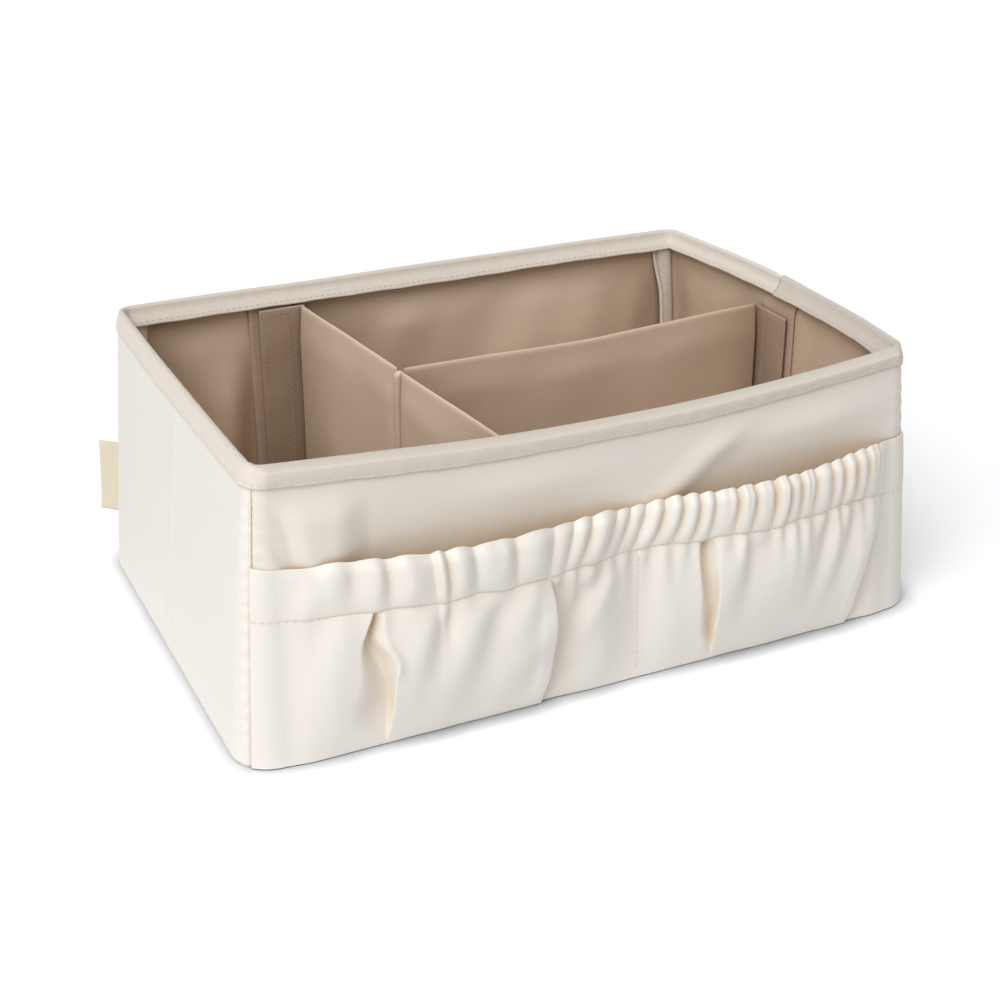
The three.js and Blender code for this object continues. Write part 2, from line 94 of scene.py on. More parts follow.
def settle(p):
    """Draws points in towards the rim in proportion to their height, leans and bows each
    wall by a parabola along it, and lowers the front and rear rims the same way."""
    x, y, z = np.moveaxis(np.asarray(p, float), -1, 0)
    up = z / HEIGHT
    u, v = np.clip(x / HALF_L, -1, 1), np.clip(y / HALF_W, -1, 1)
    front, rear = ramp(-v, 0.5, 0.85), ramp(v, 0.5, 0.85)
    left, right = ramp(-u, 0.5, 0.85), ramp(u, 0.5, 0.85)
    along, across = 1 - u * u, 1 - v * v
    bow = along * (1 + FRONT_BOW_SKEW * u)
    out_x = up * across * (RIGHT_BOW * right - LEFT_BOW * left)
    out_y = up * ((REAR_BOW * along - REAR_LEAN) * rear - (FRONT_BOW * bow - FRONT_LEAN) * front)
    sag = (FRONT_SAG * bow * front + REAR_SAG * along * rear) / HEIGHT
    x, y = x * (1 - ENDS_IN * up) + out_x, y * (1 - SIDES_IN * up) + out_y
    return np.stack([x, y, z * (1 - sag)], -1)


def corner_at(z):
    """Corner radius in plan, from the base's to the rim's."""
    return BASE_CORNER + (RIM_CORNER - BASE_CORNER) * np.clip(z / HEIGHT, 0, 1)


def on_wall(side, column, z, depth):
    """A point of a wall before it settles. Columns from -1 to 1 run along the flat part,
    and out to -2 and 2 round half a corner. Depth counts inwards from the outer face."""
    c, z, depth = np.broadcast_arrays(*(np.asarray(a, float) for a in (column, z, depth)))
    r = corner_at(z)
    turn = np.maximum(np.abs(c) - 1, 0) * np.pi / 4
    x = np.sign(c) * (np.minimum(np.abs(c), 1) * (WALLS[side] - r) + (r - depth) * np.sin(turn))
    out = (r - depth) * np.cos(turn) - r
    place = {
        "front": (x, -HALF_W - out),
        "rear": (-x, HALF_W + out),
        "left": (-HALF_L - out, -x),
        "right": (HALF_L + out, x),
    }[side]
    return np.stack([*place, z], -1)


def ripple(u, v, size, seed, count=6):
    """Uneven waves from -1 to 1: a sum of sines of random direction and phase whose
    lengths lie round size."""
    dice = np.random.default_rng(seed)
    angle, phase = dice.uniform(0, 2 * np.pi, (2, count))
    length = size * dice.uniform(0.7, 1.7, count)
    u, v = np.broadcast_arrays(np.asarray(u, float), np.asarray(v, float))
    way = u[..., None] * np.cos(angle) + v[..., None] * np.sin(angle)
    return np.sin(2 * np.pi * way / length + phase).sum(-1) / count**0.5 / 1.6


print("front rim middle:", settle([[0, -HALF_W, HEIGHT]]).round(1))

# %% [markdown]
# ## From a grid of points to a piece
# Cloth could be a plane with a Solidify modifier. Here both faces are worked out as
# arrays instead: the normals of the grid give the two faces, and a strip round the edge
# closes them, so a sheet has a known thickness everywhere, folds included.


# %% Meshes from grids
def grid_quads(rows, cols, wrap=False):
    """Corner numbers of the faces of a grid; with wrap the last column meets the first."""
    last = cols if wrap else cols - 1
    i, j = np.meshgrid(np.arange(rows - 1), np.arange(last), indexing="ij")
    right = (j + 1) % cols
    quads = [i * cols + j, i * cols + right, (i + 1) * cols + right, (i + 1) * cols + j]
    return np.stack(quads, -1).reshape(-1, 4)


def to_piece(name, points, quads, finish, uv=None, normals=None):
    """Puts points in millimetres and their faces into a smooth mesh at the origin."""
    mesh = bpy.data.meshes.new(name)
    mesh.from_pydata(points.reshape(-1, 3) * MM, [], quads)
    mesh.polygons.foreach_set("use_smooth", np.ones(len(quads), bool))
    if uv is not None:
        layer = mesh.uv_layers.new(name="cloth")
        layer.data.foreach_set("uv", (uv.reshape(-1, 2) * MM)[quads.ravel()].ravel())
    mesh.update()
    if normals is not None:
        mesh.normals_split_custom_set_from_vertices(normals.reshape(-1, 3))
    piece = bpy.data.objects.new(name, mesh)
    piece.data.materials.append(finish)
    bpy.context.collection.objects.link(piece)
    return piece


def weld(piece):
    """Merges points that lie on each other, which closes poles and folded ends."""
    work = bmesh.new()
    work.from_mesh(piece.data)
    bmesh.ops.remove_doubles(work, verts=work.verts, dist=1e-6)
    bmesh.ops.dissolve_degenerate(work, edges=work.edges, dist=1e-6)
    bmesh.ops.recalc_face_normals(work, faces=work.faces)
    work.to_mesh(piece.data)
    work.free()
    return piece


def rings(name, p, finish, uv=None):
    """A body from rows of points, each of which closes to a ring."""
    return weld(to_piece(name, p, grid_quads(*p.shape[:2], wrap=True), finish, uv))


def normals_of(p):
    """Unit cross product of the steps along the columns and along the rows."""
    n = np.cross(np.gradient(p, axis=1), np.gradient(p, axis=0))
    return n / np.maximum(np.linalg.norm(n, axis=-1, keepdims=True), 1e-9)


def shell(name, face, back, finish, uv=None, normals=None):
    """Closes a face grid and a back grid to one body with a strip round the edge."""
    rows, cols = face.shape[:2]
    k = rows * cols
    quads = grid_quads(rows, cols)
    top, right = np.arange(cols), np.arange(2, rows + 1) * cols - 1
    bottom, left = k - 2 - np.arange(cols - 1), np.arange(rows - 2, 0, -1) * cols
    edge = np.concatenate([top, right, bottom, left])
    after = np.roll(edge, -1)
    strip = np.stack([after, edge, edge + k, after + k], -1)
    both = np.concatenate([quads, quads[:, ::-1] + k, strip])
    points = np.concatenate([face.reshape(-1, 3), back.reshape(-1, 3)])
    twice = lambda a: None if a is None else np.concatenate([a.reshape(k, -1)] * 2)
    ways = None if normals is None else twice(normals) * np.repeat([[1.0], [-1.0]], k, 0)
    return to_piece(name, points, both, finish, twice(uv), ways)


def cloth(name, middle, thick, finish, uv=None):
    """A sheet: its middle surface moved half the thickness out and half in."""
    step = normals_of(middle) * thick / 2
    return shell(name, middle + step, middle - step, finish, uv)


def running(p, axis):
    """Length along one direction of a grid, from its first line on, in millimetres."""
    step = np.linalg.norm(np.diff(p, axis=axis), axis=-1)
    start = np.zeros_like(np.take(step, [0], axis))
    return np.concatenate([start, np.cumsum(step, axis)], axis)


def cut_of(p):
    """UV of a grid as lengths along its columns and rows, as on the flat cloth."""
    return np.stack([running(p, 1), running(p, 0)], -1)


def doubled(steps):
    """A strip folded in two, on edge: shares of the way out and back, and turns of the fold."""
    out, half_turn = np.linspace(0, 1, steps), np.linspace(0, np.pi, 9)[1:-1]
    turn = np.concatenate([np.zeros(steps), half_turn, np.full(steps, np.pi)])
    return np.concatenate([out, np.ones(7), out[::-1]]), turn


def seat(piece, slot, stands_for="", body="box", bend=None):
    """Hides the solid that the piece stands for and hangs the piece on its body; with a
    bend it only bakes the piece's transform into its mesh. The slot is not used."""
    if stands_for:
        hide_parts(stands_for)
    if bend:
        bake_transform(piece)
    else:
        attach(piece, body)
    return piece


def lay(piece, slot, stands_for, flat, held, rests_on, **rides):
    """Seats a sheet. Its flat size, how it is held and what it rests on are not used."""
    seat(piece, slot, stands_for, **rides)


print("mesh helpers ready")

# %% [markdown]
# ## Stitches
# A seam shows as a row of short threads that dive into the cloth at both ends. A curve
# with a bevel would give a cord; one array of little bent capsules gives a real seam.


# %% A row of stitches
def sew(name, path, out, finish, slot, sizes=(2.6, 0.9, 0.45), **rides):
    """Capsules along a path: each bends outwards by half a cosine and sinks at its ends.
    Sizes are the length, the gap and the thickness of the thread."""
    long, gap, thick = sizes
    out = np.broadcast_to(np.asarray(out, float), path.shape)
    run = np.concatenate([[0], np.cumsum(np.linalg.norm(np.diff(path, axis=0), axis=1))])
    middle = np.arange(long / 2, run[-1] - long / 2, long + gap)
    at = lambda a, s: np.stack([np.interp(s, run, a[:, i]) for i in range(3)], -1)
    unit = lambda a: a / np.maximum(np.linalg.norm(a, axis=-1, keepdims=True), 1e-9)
    way = unit(at(path, middle + 0.4) - at(path, middle - 0.4))
    lift = unit(at(out, middle))
    side = unit(np.cross(way, lift))
    s, turn = np.linspace(-1, 1, 7), np.arange(6) * np.pi / 3
    round_off = np.sqrt(np.maximum(1 - s**6, 0)) * thick / 2
    rise = thick * (0.62 * np.cos(s * np.pi / 2) - 0.32)
    ring = lambda a: a[:, None, None, :]
    spread = round_off[:, None] * np.stack([np.cos(turn), np.sin(turn)])[:, None]
    p = ring(at(path, middle)) + ring(way) * (s * long / 2)[None, :, None, None]
    p = p + ring(lift) * (rise[:, None] + spread[0])[None, ..., None]
    p = p + ring(side) * spread[1][None, ..., None]
    one = grid_quads(len(s), len(turn), wrap=True)
    quads = one[None] + (np.arange(len(middle)) * len(s) * len(turn))[:, None, None]
    seat(weld(to_piece(name, p, quads.reshape(-1, 4), finish)), slot, **rides)


print("stitches are 2.6 mm long with 0.9 mm between them")

# %% [markdown]
# ## Finishes
# Every finish starts from what the real one is. Colours are written as sRGB hex values,
# and pattern scales come from thread or rib spacing in millimetres.


# %% Colour and node helpers
def hex_colour(text):
    """sRGB hex to linear RGBA."""
    c = np.array([int(text[i : i + 2], 16) for i in (1, 3, 5)]) / 255
    return (*np.where(c <= 0.04045, c / 12.92, ((c + 0.055) / 1.055) ** 2.4), 1.0)


def add(tree, kind, sockets=None, **settings):
    """Adds one node, applies its settings, and sets or links its input sockets."""
    made = tree.nodes.new(kind)
    for key, value in settings.items():
        setattr(made, key, value)
    for key, value in (sockets or {}).items():
        if isinstance(value, bpy.types.NodeSocket):
            tree.links.new(value, made.inputs[key])
        else:
            made.inputs[key].default_value = value
    return made


def start_finish(name, **sockets):
    """A material with a bare Principled shader, its tree, and the piece's coordinates."""
    finish = bpy.data.materials.new(name)
    finish.use_nodes = True
    tree = finish.node_tree
    shader = tree.nodes["Principled BSDF"]
    for key, value in sockets.items():
        shader.inputs[key.replace("_", " ")].default_value = value
    return finish, tree, shader, add(tree, "ShaderNodeTexCoord").outputs


def noise(tree, place, grain, detail):
    """Socket of a noise with its grain in millimetres."""
    sockets = {"Vector": place, "Scale": 1 / (grain * MM), "Detail": detail}
    return add(tree, "ShaderNodeTexNoise", sockets).outputs[0]


def stripes(tree, place, apart, uneven, way):
    """Socket of waves some millimetres apart; at scale 1 they are 2 pi / 20 apart."""
    scale = 2 * np.pi / (20 * apart * MM)
    sockets = {"Vector": place, "Scale": scale, "Distortion": uneven}
    return add(tree, "ShaderNodeTexWave", sockets, bands_direction=way).outputs["Fac"]


def maths(tree, what, a, b):
    """Socket of one operation on two sockets."""
    return add(tree, "ShaderNodeMath", {0: a, 1: b}, operation=what).outputs[0]


def bump(tree, height, strength, deep, under=None):
    """Normal socket of a bump, deep in millimetres, which may lie on another bump."""
    sockets = {"Height": height, "Strength": strength, "Distance": deep * MM}
    if under:
        sockets["Normal"] = under
    return add(tree, "ShaderNodeBump", sockets).outputs[0]


def open_air(tree, near, **settings):
    """Socket that is 1 in the open and falls where cloth is nearer than near, in metres."""
    kind = "ShaderNodeAmbientOcclusion"
    return add(tree, kind, {"Distance": near}, samples=4, **settings).outputs["AO"]


def dress(tree, shader, share, dark, light, normal):
    """Gives the shader a colour between two hex colours, and a normal."""
    colours = {0: share, 6: hex_colour(dark), 7: hex_colour(light)}
    mix = add(tree, "ShaderNodeMix", colours, data_type="RGBA")
    tree.links.new(mix.outputs[2], shader.inputs["Base Color"])
    tree.links.new(normal, shader.inputs["Normal"])


print("cream is", [round(x, 3) for x in hex_colour("#F3ECE0")])

# %% [markdown]
# ### Cream satin
# Satin-weave polyester: long floats on the face give a smooth cloth with a soft, broad
# sheen. Its threads are 0.2 mm apart, too fine to show, so the weave is drawn at 0.7 mm,
# faintly, and a slack crumple of 9 mm and 30 mm gives the light something to run over.
# In folds the colour turns darker and warm: painted shade. There a piece sees only itself, but the
# panel behind the pocket has a darker copy of the finish, painted shade, that sees the pocket too.


# %% Cream satin
def satin_finish(name, dark, light, near, alone):
    """Fine floats over a small and a wide crumple, with painted shade that turns the colour
    warm where cloth is near: the piece's own folds alone, or other pieces too."""
    made, t, shader, co = start_finish(
        name, Roughness=0.38, Sheen_Weight=0.12, Sheen_Roughness=0.4, Specular_IOR_Level=0.42
    )
    wide = bump(t, noise(t, co["Object"], 30, 2.0), 0.2, 1.2)
    small = bump(t, noise(t, co["Object"], 9, 1.5), 0.1, 0.5, wide)
    floats = bump(t, noise(t, co["Object"], 0.7, 1.0), 0.1, 0.1, small)
    dress(t, shader, open_air(t, near, only_local=alone), dark, light, floats)
    return made


# The dark colour of each satin is painted shade in folds. The copy behind the pocket is the same
# cloth, darker all over, and it also takes painted shade from the pocket.
satin = satin_finish("cream satin-weave polyester", "#D8BF9E", "#E6E1D9", 0.02, True)
shaded_front_satin = satin_finish("cream satin behind the pocket", "#D0B594", "#E1DBD2", 0.035, False)
print(satin.name, "and", shaded_front_satin.name)

# %% [markdown]
# ### Taupe lining
# Plain-weave polyester, thinner and duller than the satin. Threads both ways cross at
# about 0.4 mm; drawn at 0.9 mm they show as a faint grid that breaks up the sheen.
# Painted shade darkens it where other cloth is near. The tabs are of a darker cloth of the same
# kind.


# %% Taupe lining
def lining_finish(name, dark, light):
    """Crossed threads over slack waves, with painted shade that darkens the colour where cloth is
    near.
    """
    made, t, shader, co = start_finish(
        name, Roughness=0.34, Sheen_Weight=0.12, Sheen_Roughness=0.45, Specular_IOR_Level=0.38
    )
    warp, weft = (stripes(t, co["Object"], 0.9, 0.6, way) for way in ("DIAGONAL", "Z"))
    wide = bump(t, noise(t, co["Object"], 26, 2.0), 0.4, 1.6)
    threads = bump(t, maths(t, "MULTIPLY", warp, weft), 0.16, 0.12, wide)
    dress(t, shader, open_air(t, 0.06), dark, light, threads)
    return made


# The dark colour of each lining finish is painted shade where other cloth is near.
lining_cloth = lining_finish("taupe plain-weave polyester", "#805E3C", "#D8C2AB")
tab_cloth = lining_finish("taupe tab cloth", "#6E5138", "#B8A38E")
print(lining_cloth.name, "and", tab_cloth.name)

# %% [markdown]
# ### Grosgrain tape
# A tape with a thick weft, so ribs run across it. They are about 1 mm apart and follow
# the tape round the rim, so the pattern reads the tape's own UV map, laid out in metres.

# %% Grosgrain tape
grosgrain, t, shader, co = start_finish(
    "beige grosgrain tape",
    Roughness=0.72,
    Sheen_Weight=0.25,
    Sheen_Roughness=0.5,
    Specular_IOR_Level=0.3,
)
rib, yarn = stripes(t, co["UV"], 1.0, 0.25, "X"), noise(t, co["UV"], 4, 3.0)
uneven = bump(t, yarn, 0.25, 0.4, bump(t, rib, 0.55, 0.35))
# The colour is darker in the grooves between the ribs, which is painted shade, and it varies at
# random with the yarn noise.
dress(t, shader, maths(t, "MULTIPLY", rib, yarn), "#E0D6CA", "#EEE6DB", uneven)
print(grosgrain.name)

# %% [markdown]
# ### Small finishes
# Thread is twisted polyester with a soft shine. Hook-and-loop tape is a matte pile of
# 1.2 mm loops. The label is bare woven cotton. Elastic, board and foam stay out of sight.


# %% Thread, pile, cotton and the hidden finishes
def plain_finish(name, dark, light, grain, deep, roughness, sheen=0.0):
    """A finish with noise of one grain size in millimetres for colour and bump."""
    made, t, shader, co = start_finish(name, Roughness=roughness, Sheen_Weight=sheen)
    rough = noise(t, co["Object"], grain, 3.0)
    dress(t, shader, rough, dark, light, bump(t, rough, 0.5, deep))
    return made


thread = plain_finish("peach polyester thread", "#DCC3A2", "#EBD8BE", 0.8, 0.1, 0.5, 0.2)
tape_thread = plain_finish("beige polyester thread", "#CFC0AE", "#E0D4C6", 0.8, 0.1, 0.5, 0.2)
taupe_thread = plain_finish("taupe polyester thread", "#B0967E", "#C6AE97", 0.8, 0.1, 0.5, 0.2)
pile = plain_finish("taupe hook-and-loop pile", "#B0957C", "#C4AA92", 1.2, 0.5, 0.85, 0.4)
cotton = plain_finish("woven cotton label", "#D0C3AE", "#DDD1BE", 0.7, 0.15, 0.75, 0.3)
woven_rubber = plain_finish("woven elastic", "#E6E0D6", "#F2EDE4", 0.9, 0.2, 0.8)
board = plain_finish("grey stiffener board", "#D8D5CD", "#E3E0D9", 1.5, 0.1, 0.7)
foam = plain_finish("closed-cell foam", "#DEDAD1", "#EAE6DE", 1.0, 0.2, 0.85)
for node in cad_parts.values():
    if "board" in node.name:
        node.data.materials.clear()
        node.data.materials.append(foam if "leaf" in node.name else board)
print("finishes:", len(bpy.data.materials))

# %% [markdown]
# ## Outer cover
# Four panels meet in the corner seams. Each is one grid: along the wall and round half of
# both corners, and up from the base to under the tape. Near a seam the cloth dips in and
# puckers between the stitches. The sides keep the fold they were packed flat with, and
# above the pocket the front is slack.


# %% Outer panels
SEAM_END = 1.985  # last column of a panel, just short of the seam
PACK_FOLD = (4.0, -10.0)  # place of the packing fold at the base, and its lean up to the rim
BOARDS = {side: [f"board_{side}"] for side in ("front", "rear")}
BOARDS |= {side: [f"board_{side}_front", f"board_{side}_rear"] for side in ("left", "right")}


def along_wall(side, column, z):
    """Distance from the wall's middle in millimetres, measured round the corners too."""
    flat = WALLS[side] - corner_at(z)
    past = np.maximum(np.abs(column) - 1, 0) * np.pi / 4 * corner_at(z)
    return np.sign(column) * (np.minimum(np.abs(column), 1) * flat + past)


def outer_relief(side, column, z):
    """How far the cloth stands off its board: slack waves held flat under the tape, the
    packing fold as a thin ridge, bells for the slack above the pocket, and puckers that
    fade within 5 mm of a seam."""
    run = along_wall(side, column, z)
    to_seam = along_wall(side, np.full_like(z, SEAM_END), z) - np.abs(run)
    to_tape = PANEL_TOP - z
    waves = 0.5 + 0.5 * ripple(run, 0.6 * z, 75, 3 + list(WALLS).index(side))
    rise = 1.1 * waves * ramp(to_tape, 10, 26) * ramp(z, 0, 14) * ramp(to_seam, 4, 30)
    if side in ("left", "right"):
        fold = (PACK_FOLD[0] + PACK_FOLD[1] * z / HEIGHT) * (-1 if side == "left" else 1)
        thin = 0.75 * np.exp(-np.abs(run - fold) / 2.2) * ramp(z, 0, 6)
        rise = rise * (1 - 0.7 * hump(run, fold, 9)) + thin
    if side == "front":
        soft = 4.4 * ramp(run, -186, -160) * (1 - ramp(run, -148, -128))
        soft = soft - 3.6 * hump(run + 0.3 * (z - 104), -169, 6) * (1 - ramp(z, 112, 134))
        soft = soft + 2.4 * hump(run - 1.45 * (z - 110), 47, 13)
        soft = soft + 1.6 * hump(run, -40, 36) * ramp(z, 104, 126)
        soft = soft + 2.6 * hump(run, 128, 48) * ramp(z, 98, 126)
        soft = soft + 0.4 * rise + 0.4 * ripple(run, 1.2 * z, 64, 11)
        rise = ramp(z, 80, 104) * ramp(to_tape, 8, 26) * soft
    beat = 0.5 + 0.5 * np.sin(2 * np.pi * z / 8 + 2 * ripple(z, 0, 40, 21))
    pucker = np.exp(-to_seam / 5) * beat * ramp(to_tape, 8, 20) * ramp(to_seam, 0.3, 2.5)
    return np.maximum(rise, 0) + 0.9 * pucker


def wall_grid(side, low, rows, step, depth):
    """The settled wall from a height up to under the tape, at a depth that may change over
    the grid. Columns are a step apart along the flat part and finer round the corners."""
    turn = np.linspace(1, SEAM_END, 14)[1:]
    flat = np.linspace(-1, 1, round(2 * WALLS[side] / step))
    columns = np.concatenate([-turn[::-1], flat, turn])
    c, z = np.meshgrid(columns, np.linspace(low, CLOTH_TOP, rows))
    return settle(on_wall(side, c, z, depth(c, z)))


tuck = lambda c: 0.9 * ramp(np.abs(c), 1.85, SEAM_END)
for side, half in WALLS.items():
    outer_depth = lambda c, z: COVER / 2 + tuck(c) - outer_relief(side, c, z)
    middle = wall_grid(side, 0.2, 96, 1.6, outer_depth)
    # The front panel gets the copy of the satin with painted shade.
    finish = shaded_front_satin if side == "front" else satin
    piece = cloth(f"cover_{side}", middle, COVER, finish, cut_of(middle))
    flat = (2 * half, HEIGHT)
    lay(piece, "cream_satin", f"outer_{side}", flat, "stretched", BOARDS[side])
print("outer panels of", middle.shape[0], "rows")

# %% [markdown]
# ### Base and floor
# Both are one cloth cut to a rounded rectangle. A grid of rings from the middle to the
# outline gives a sheet whose edge follows the rounded corners of the walls.


# %% Base panel and lining floor
def outline(inset):
    """The rounded rectangle of the base, moved inwards, as closed points."""
    bend = np.linspace(0, 1, 9, endpoint=False)
    c = np.concatenate([bend - 2, np.linspace(-1, 1, 40, endpoint=False), bend + 1])
    turns = [on_wall(side, c, 0, inset)[:, :2] for side in ("front", "right", "rear", "left")]
    return np.concatenate(turns)


def plate(name, inset, low, high, finish, soft):
    """Rings from the middle below out to the edge and back to the middle above."""
    share = np.concatenate([np.linspace(0, 0.97, 14), [1.0], np.linspace(0.97, 0, 14)])
    side = np.concatenate([-np.ones(13), [-0.7, 0.0, 0.7], np.ones(13)])[:, None]
    xy = outline(inset)[None] * share[:, None, None]
    wave = soft * ripple(xy[..., 0], xy[..., 1], 60, 31) * ramp(1 - share, 0, 0.3)[:, None]
    z = (low + high) / 2 + side * (high - low) / 2 + wave * (side > 0)
    return rings(name, np.concatenate([xy, z[..., None]], -1), finish, xy)


base = plate("cover_base", COVER + SEAT, 0.0, COVER, satin, 0.0)
lay(base, "cream_satin", "outer_base", (376, 245), "stretched", ["board_base"])
floor = plate("lining_floor", WALL + SEAT, FLOOR_Z - LINING, FLOOR_Z, lining_cloth, 0.12)
lay(floor, "taupe_lining", "lining_base", (369, 238), "laid", ["board_base"])
print("base edge points:", len(outline(0)))

# %% [markdown]
# ## Lining
# The lining hangs inside the boards and waves a little between its seams. Behind the loop
# strips and near the corners it is sewn down, so the waves fade out there. At the rear it
# is slack and hangs out in a bulge on each side of the strip.


# %% Lining panels
STRIPS = {"rear": (-100.5, -74.5), "front": (-82.5, -52.5), "right": (-12.1, 17.9)}
HOOK_PLANE = {"rear": 116.3, "front": 110.2, "right": 176.4}  # back of each hook tape


def pulled(side, z):
    """How far the hooks pull strip and lining off their own place, fading to the floor."""
    deep = WALL + SEAT + 1.1
    x = {"rear": -94.0, "front": -71.0, "right": HALF_L - deep}[side]
    y = {"rear": HALF_W - deep, "front": deep - HALF_W, "right": 3.0}[side]
    place = settle(np.stack([np.full_like(z, x), np.full_like(z, y), z], -1))
    own = np.abs(place[..., 0 if side == "right" else 1])
    return np.clip(own - HOOK_PLANE[side], 0, 7) * ramp(z, 4, 34) * ramp(137 - z, 0, 8)


def lining_relief(side, column, z):
    """Slack waves towards the inside, taller than wide, flat at the strips and edges. The
    bulges at the rear rise slowly and fall steeply."""
    run = along_wall(side, column, z)
    x = -run if side == "rear" else run
    waves = 0.5 + 0.5 * ripple(run + 0.5 * z, 0.4 * z, 58, 41 + list(WALLS).index(side))
    free = ramp(PANEL_TOP - z, 13, 34) * ramp(z, 4, 30) * ramp(1 - np.abs(column), 0.02, 0.16)
    if side not in STRIPS:
        return 3.4 * waves * free
    low, high = STRIPS[side]
    sewn = ramp(x, low - 18, low) * ramp(-x, -high - 18, -high)
    rise = 3.4 * waves * free * (1 - sewn) + pulled(side, z) * sewn
    if side == "rear":
        bulge = 7 * ramp(x, -172, -124) * (1 - ramp(x, -124, -103))
        bulge = bulge + 6 * ramp(x, -40, 112) * (1 - ramp(x, 118, 163))
        rise = rise + bulge * ramp(130 - z, 0, 50) * ramp(z, 4, 26)
    return rise


for side, half in WALLS.items():
    lining_depth = lambda c, z: WALL - LINING / 2 + lining_relief(side, c, z)
    middle = wall_grid(side, FLOOR_Z - LINING, 70, 2.4, lining_depth)
    piece = cloth(f"lining_{side}_cloth", middle, LINING, lining_cloth, cut_of(middle))
    flat = (2 * (half - 4), 141)
    lay(piece, "taupe_lining", f"lining_{side}", flat, "stretched", BOARDS[side])
print("lining panels of", middle.shape[0], "rows")

# %% [markdown]
# ## Rim binding
# A 25 mm tape folded over the raw edges of all layers and sewn through. It is a folded
# section carried round the rim: down the outside, over the crown, down the inside. The
# tape puffs up a little above its stitch row, and its end laps over its start.


# %% The folded tape
LAP_HALF = 7.0 / (HALF_W - RIM_CORNER)  # half the lap, in columns of the right wall
LEG = TAPE_DROP - TAPE_CROWN
STITCH_UP = 2.2  # stitch row above the lower edge
TAPE_START = {"front": 0, "rear": 700, "left": 1500, "right": 2300}  # place in its waves


def tape_point(side, column, lift, angle, leg, inner):
    """A half ellipse over the wall for the crown and legs that spread below it. The outer
    leg puffs out above its stitch row, the inner one leans in, and both wander a little.
    At the front the crown stands out, and the tape gets narrower to the right."""
    run = along_wall(side, column, np.full_like(column, HEIGHT)) + TAPE_START[side]
    down, outer = leg / LEG, (1 + np.cos(angle)) / 2
    front = (side == "front") * ramp(2 - np.abs(column), 0, 1)
    lean = (down + 3.0 * ramp(down, 0.2, 1)) * (1 - outer) + 2.3 * (1 - down) * outer * front
    narrow = 1.3 * (1 - ramp(leg, 0, 7)) * (1 - outer * front) - lean
    reach = WALL / 2 + SEAT - narrow + lift
    if not inner:
        puff = 0.3 * np.sin(np.pi * np.clip(leg / (LEG - STITCH_UP), 0, 1)) * (leg > 0)
        reach = reach + TAPE + puff + 0.12 * (1 + ripple(run, leg, 14, 52))
    crown = TAPE_CROWN - (TAPE if inner else 0) + lift
    wander = 0.6 * ripple(run, 0, 38, 51) * down + 0.35 * ripple(run, 0, 90, 53)
    short = 1.6 * down * outer * front * ramp(run, -60, 150)
    z = PANEL_TOP + crown * np.sin(angle) - leg - wander + short
    return settle(on_wall(side, column, z, WALL / 2 - reach * np.cos(angle)))


def tape_path():
    """Pieces of the way round: side, columns and lift, from the lap to the lap. The start
    sinks a little and the end rises over it."""
    part = lambda a, b, count: np.linspace(a, b, count, endpoint=False)
    bend = part(0, 1, 12)
    first = np.concatenate([part(-LAP_HALF, 1, 60), bend + 1])
    last = np.concatenate([bend - 2, np.linspace(-1, LAP_HALF, 70)])
    under = -0.5 * (1 - ramp(first, LAP_HALF, LAP_HALF + 0.1))
    over = 0.45 * ramp(last, -LAP_HALF - 0.1, -LAP_HALF)
    way = [("right", first, under)]
    for side in ("rear", "left", "front"):
        c = np.concatenate([bend - 2, part(-1, 1, round(WALLS[side])), bend + 1])
        way.append((side, c, np.zeros_like(c)))
    return [*way, ("right", last, over)]


def tape_rows(angle, leg, inner):
    """One row per place on the section, all the way round the rim."""
    parts = [
        tape_point(side, c[None], lift[None], angle[:, None], leg[:, None], inner)
        for side, c, lift in tape_path()
    ]
    return np.concatenate(parts, 1)


legs = np.linspace(LEG, 0, 12, endpoint=False)
angles = np.concatenate([np.zeros(12), np.linspace(0, np.pi, 15), np.full(12, np.pi)])
drops = np.concatenate([legs, np.zeros(15), legs[::-1]])
face, back = tape_rows(angles, drops, False), tape_rows(angles, drops, True)
binding = shell("rim_binding_tape", face, back, grosgrain, cut_of(face))
rests_on = ["board_front", "board_rear"]
lay(binding, "grosgrain_binding", "rim_binding", (1190, 25), "folded", rests_on)
row = lambda angle: tape_rows(np.array([angle]), np.array([LEG - STITCH_UP]), False)[0]
for name, angle in (("outer", 0.0), ("inner", np.pi)):
    path, other = row(angle), row(np.pi - angle)
    sew(f"rim_stitches_{name}", path, path - other, tape_thread, "grosgrain_binding")
print("binding length", round(float(running(face, 1)[14, -1])), "mm")

# %% [markdown]
# ## Bound seams in the inner corners
# Inside each corner the seam allowance is bound with a narrow cream tape, which stands
# out of the corner as a fin. It is one strip folded in two: a U carried up the corner.


# %% Corner fins
FIN_WIDTH, FIN_HALF = 8.0, 0.85
DIAGONAL = np.sqrt(0.5)


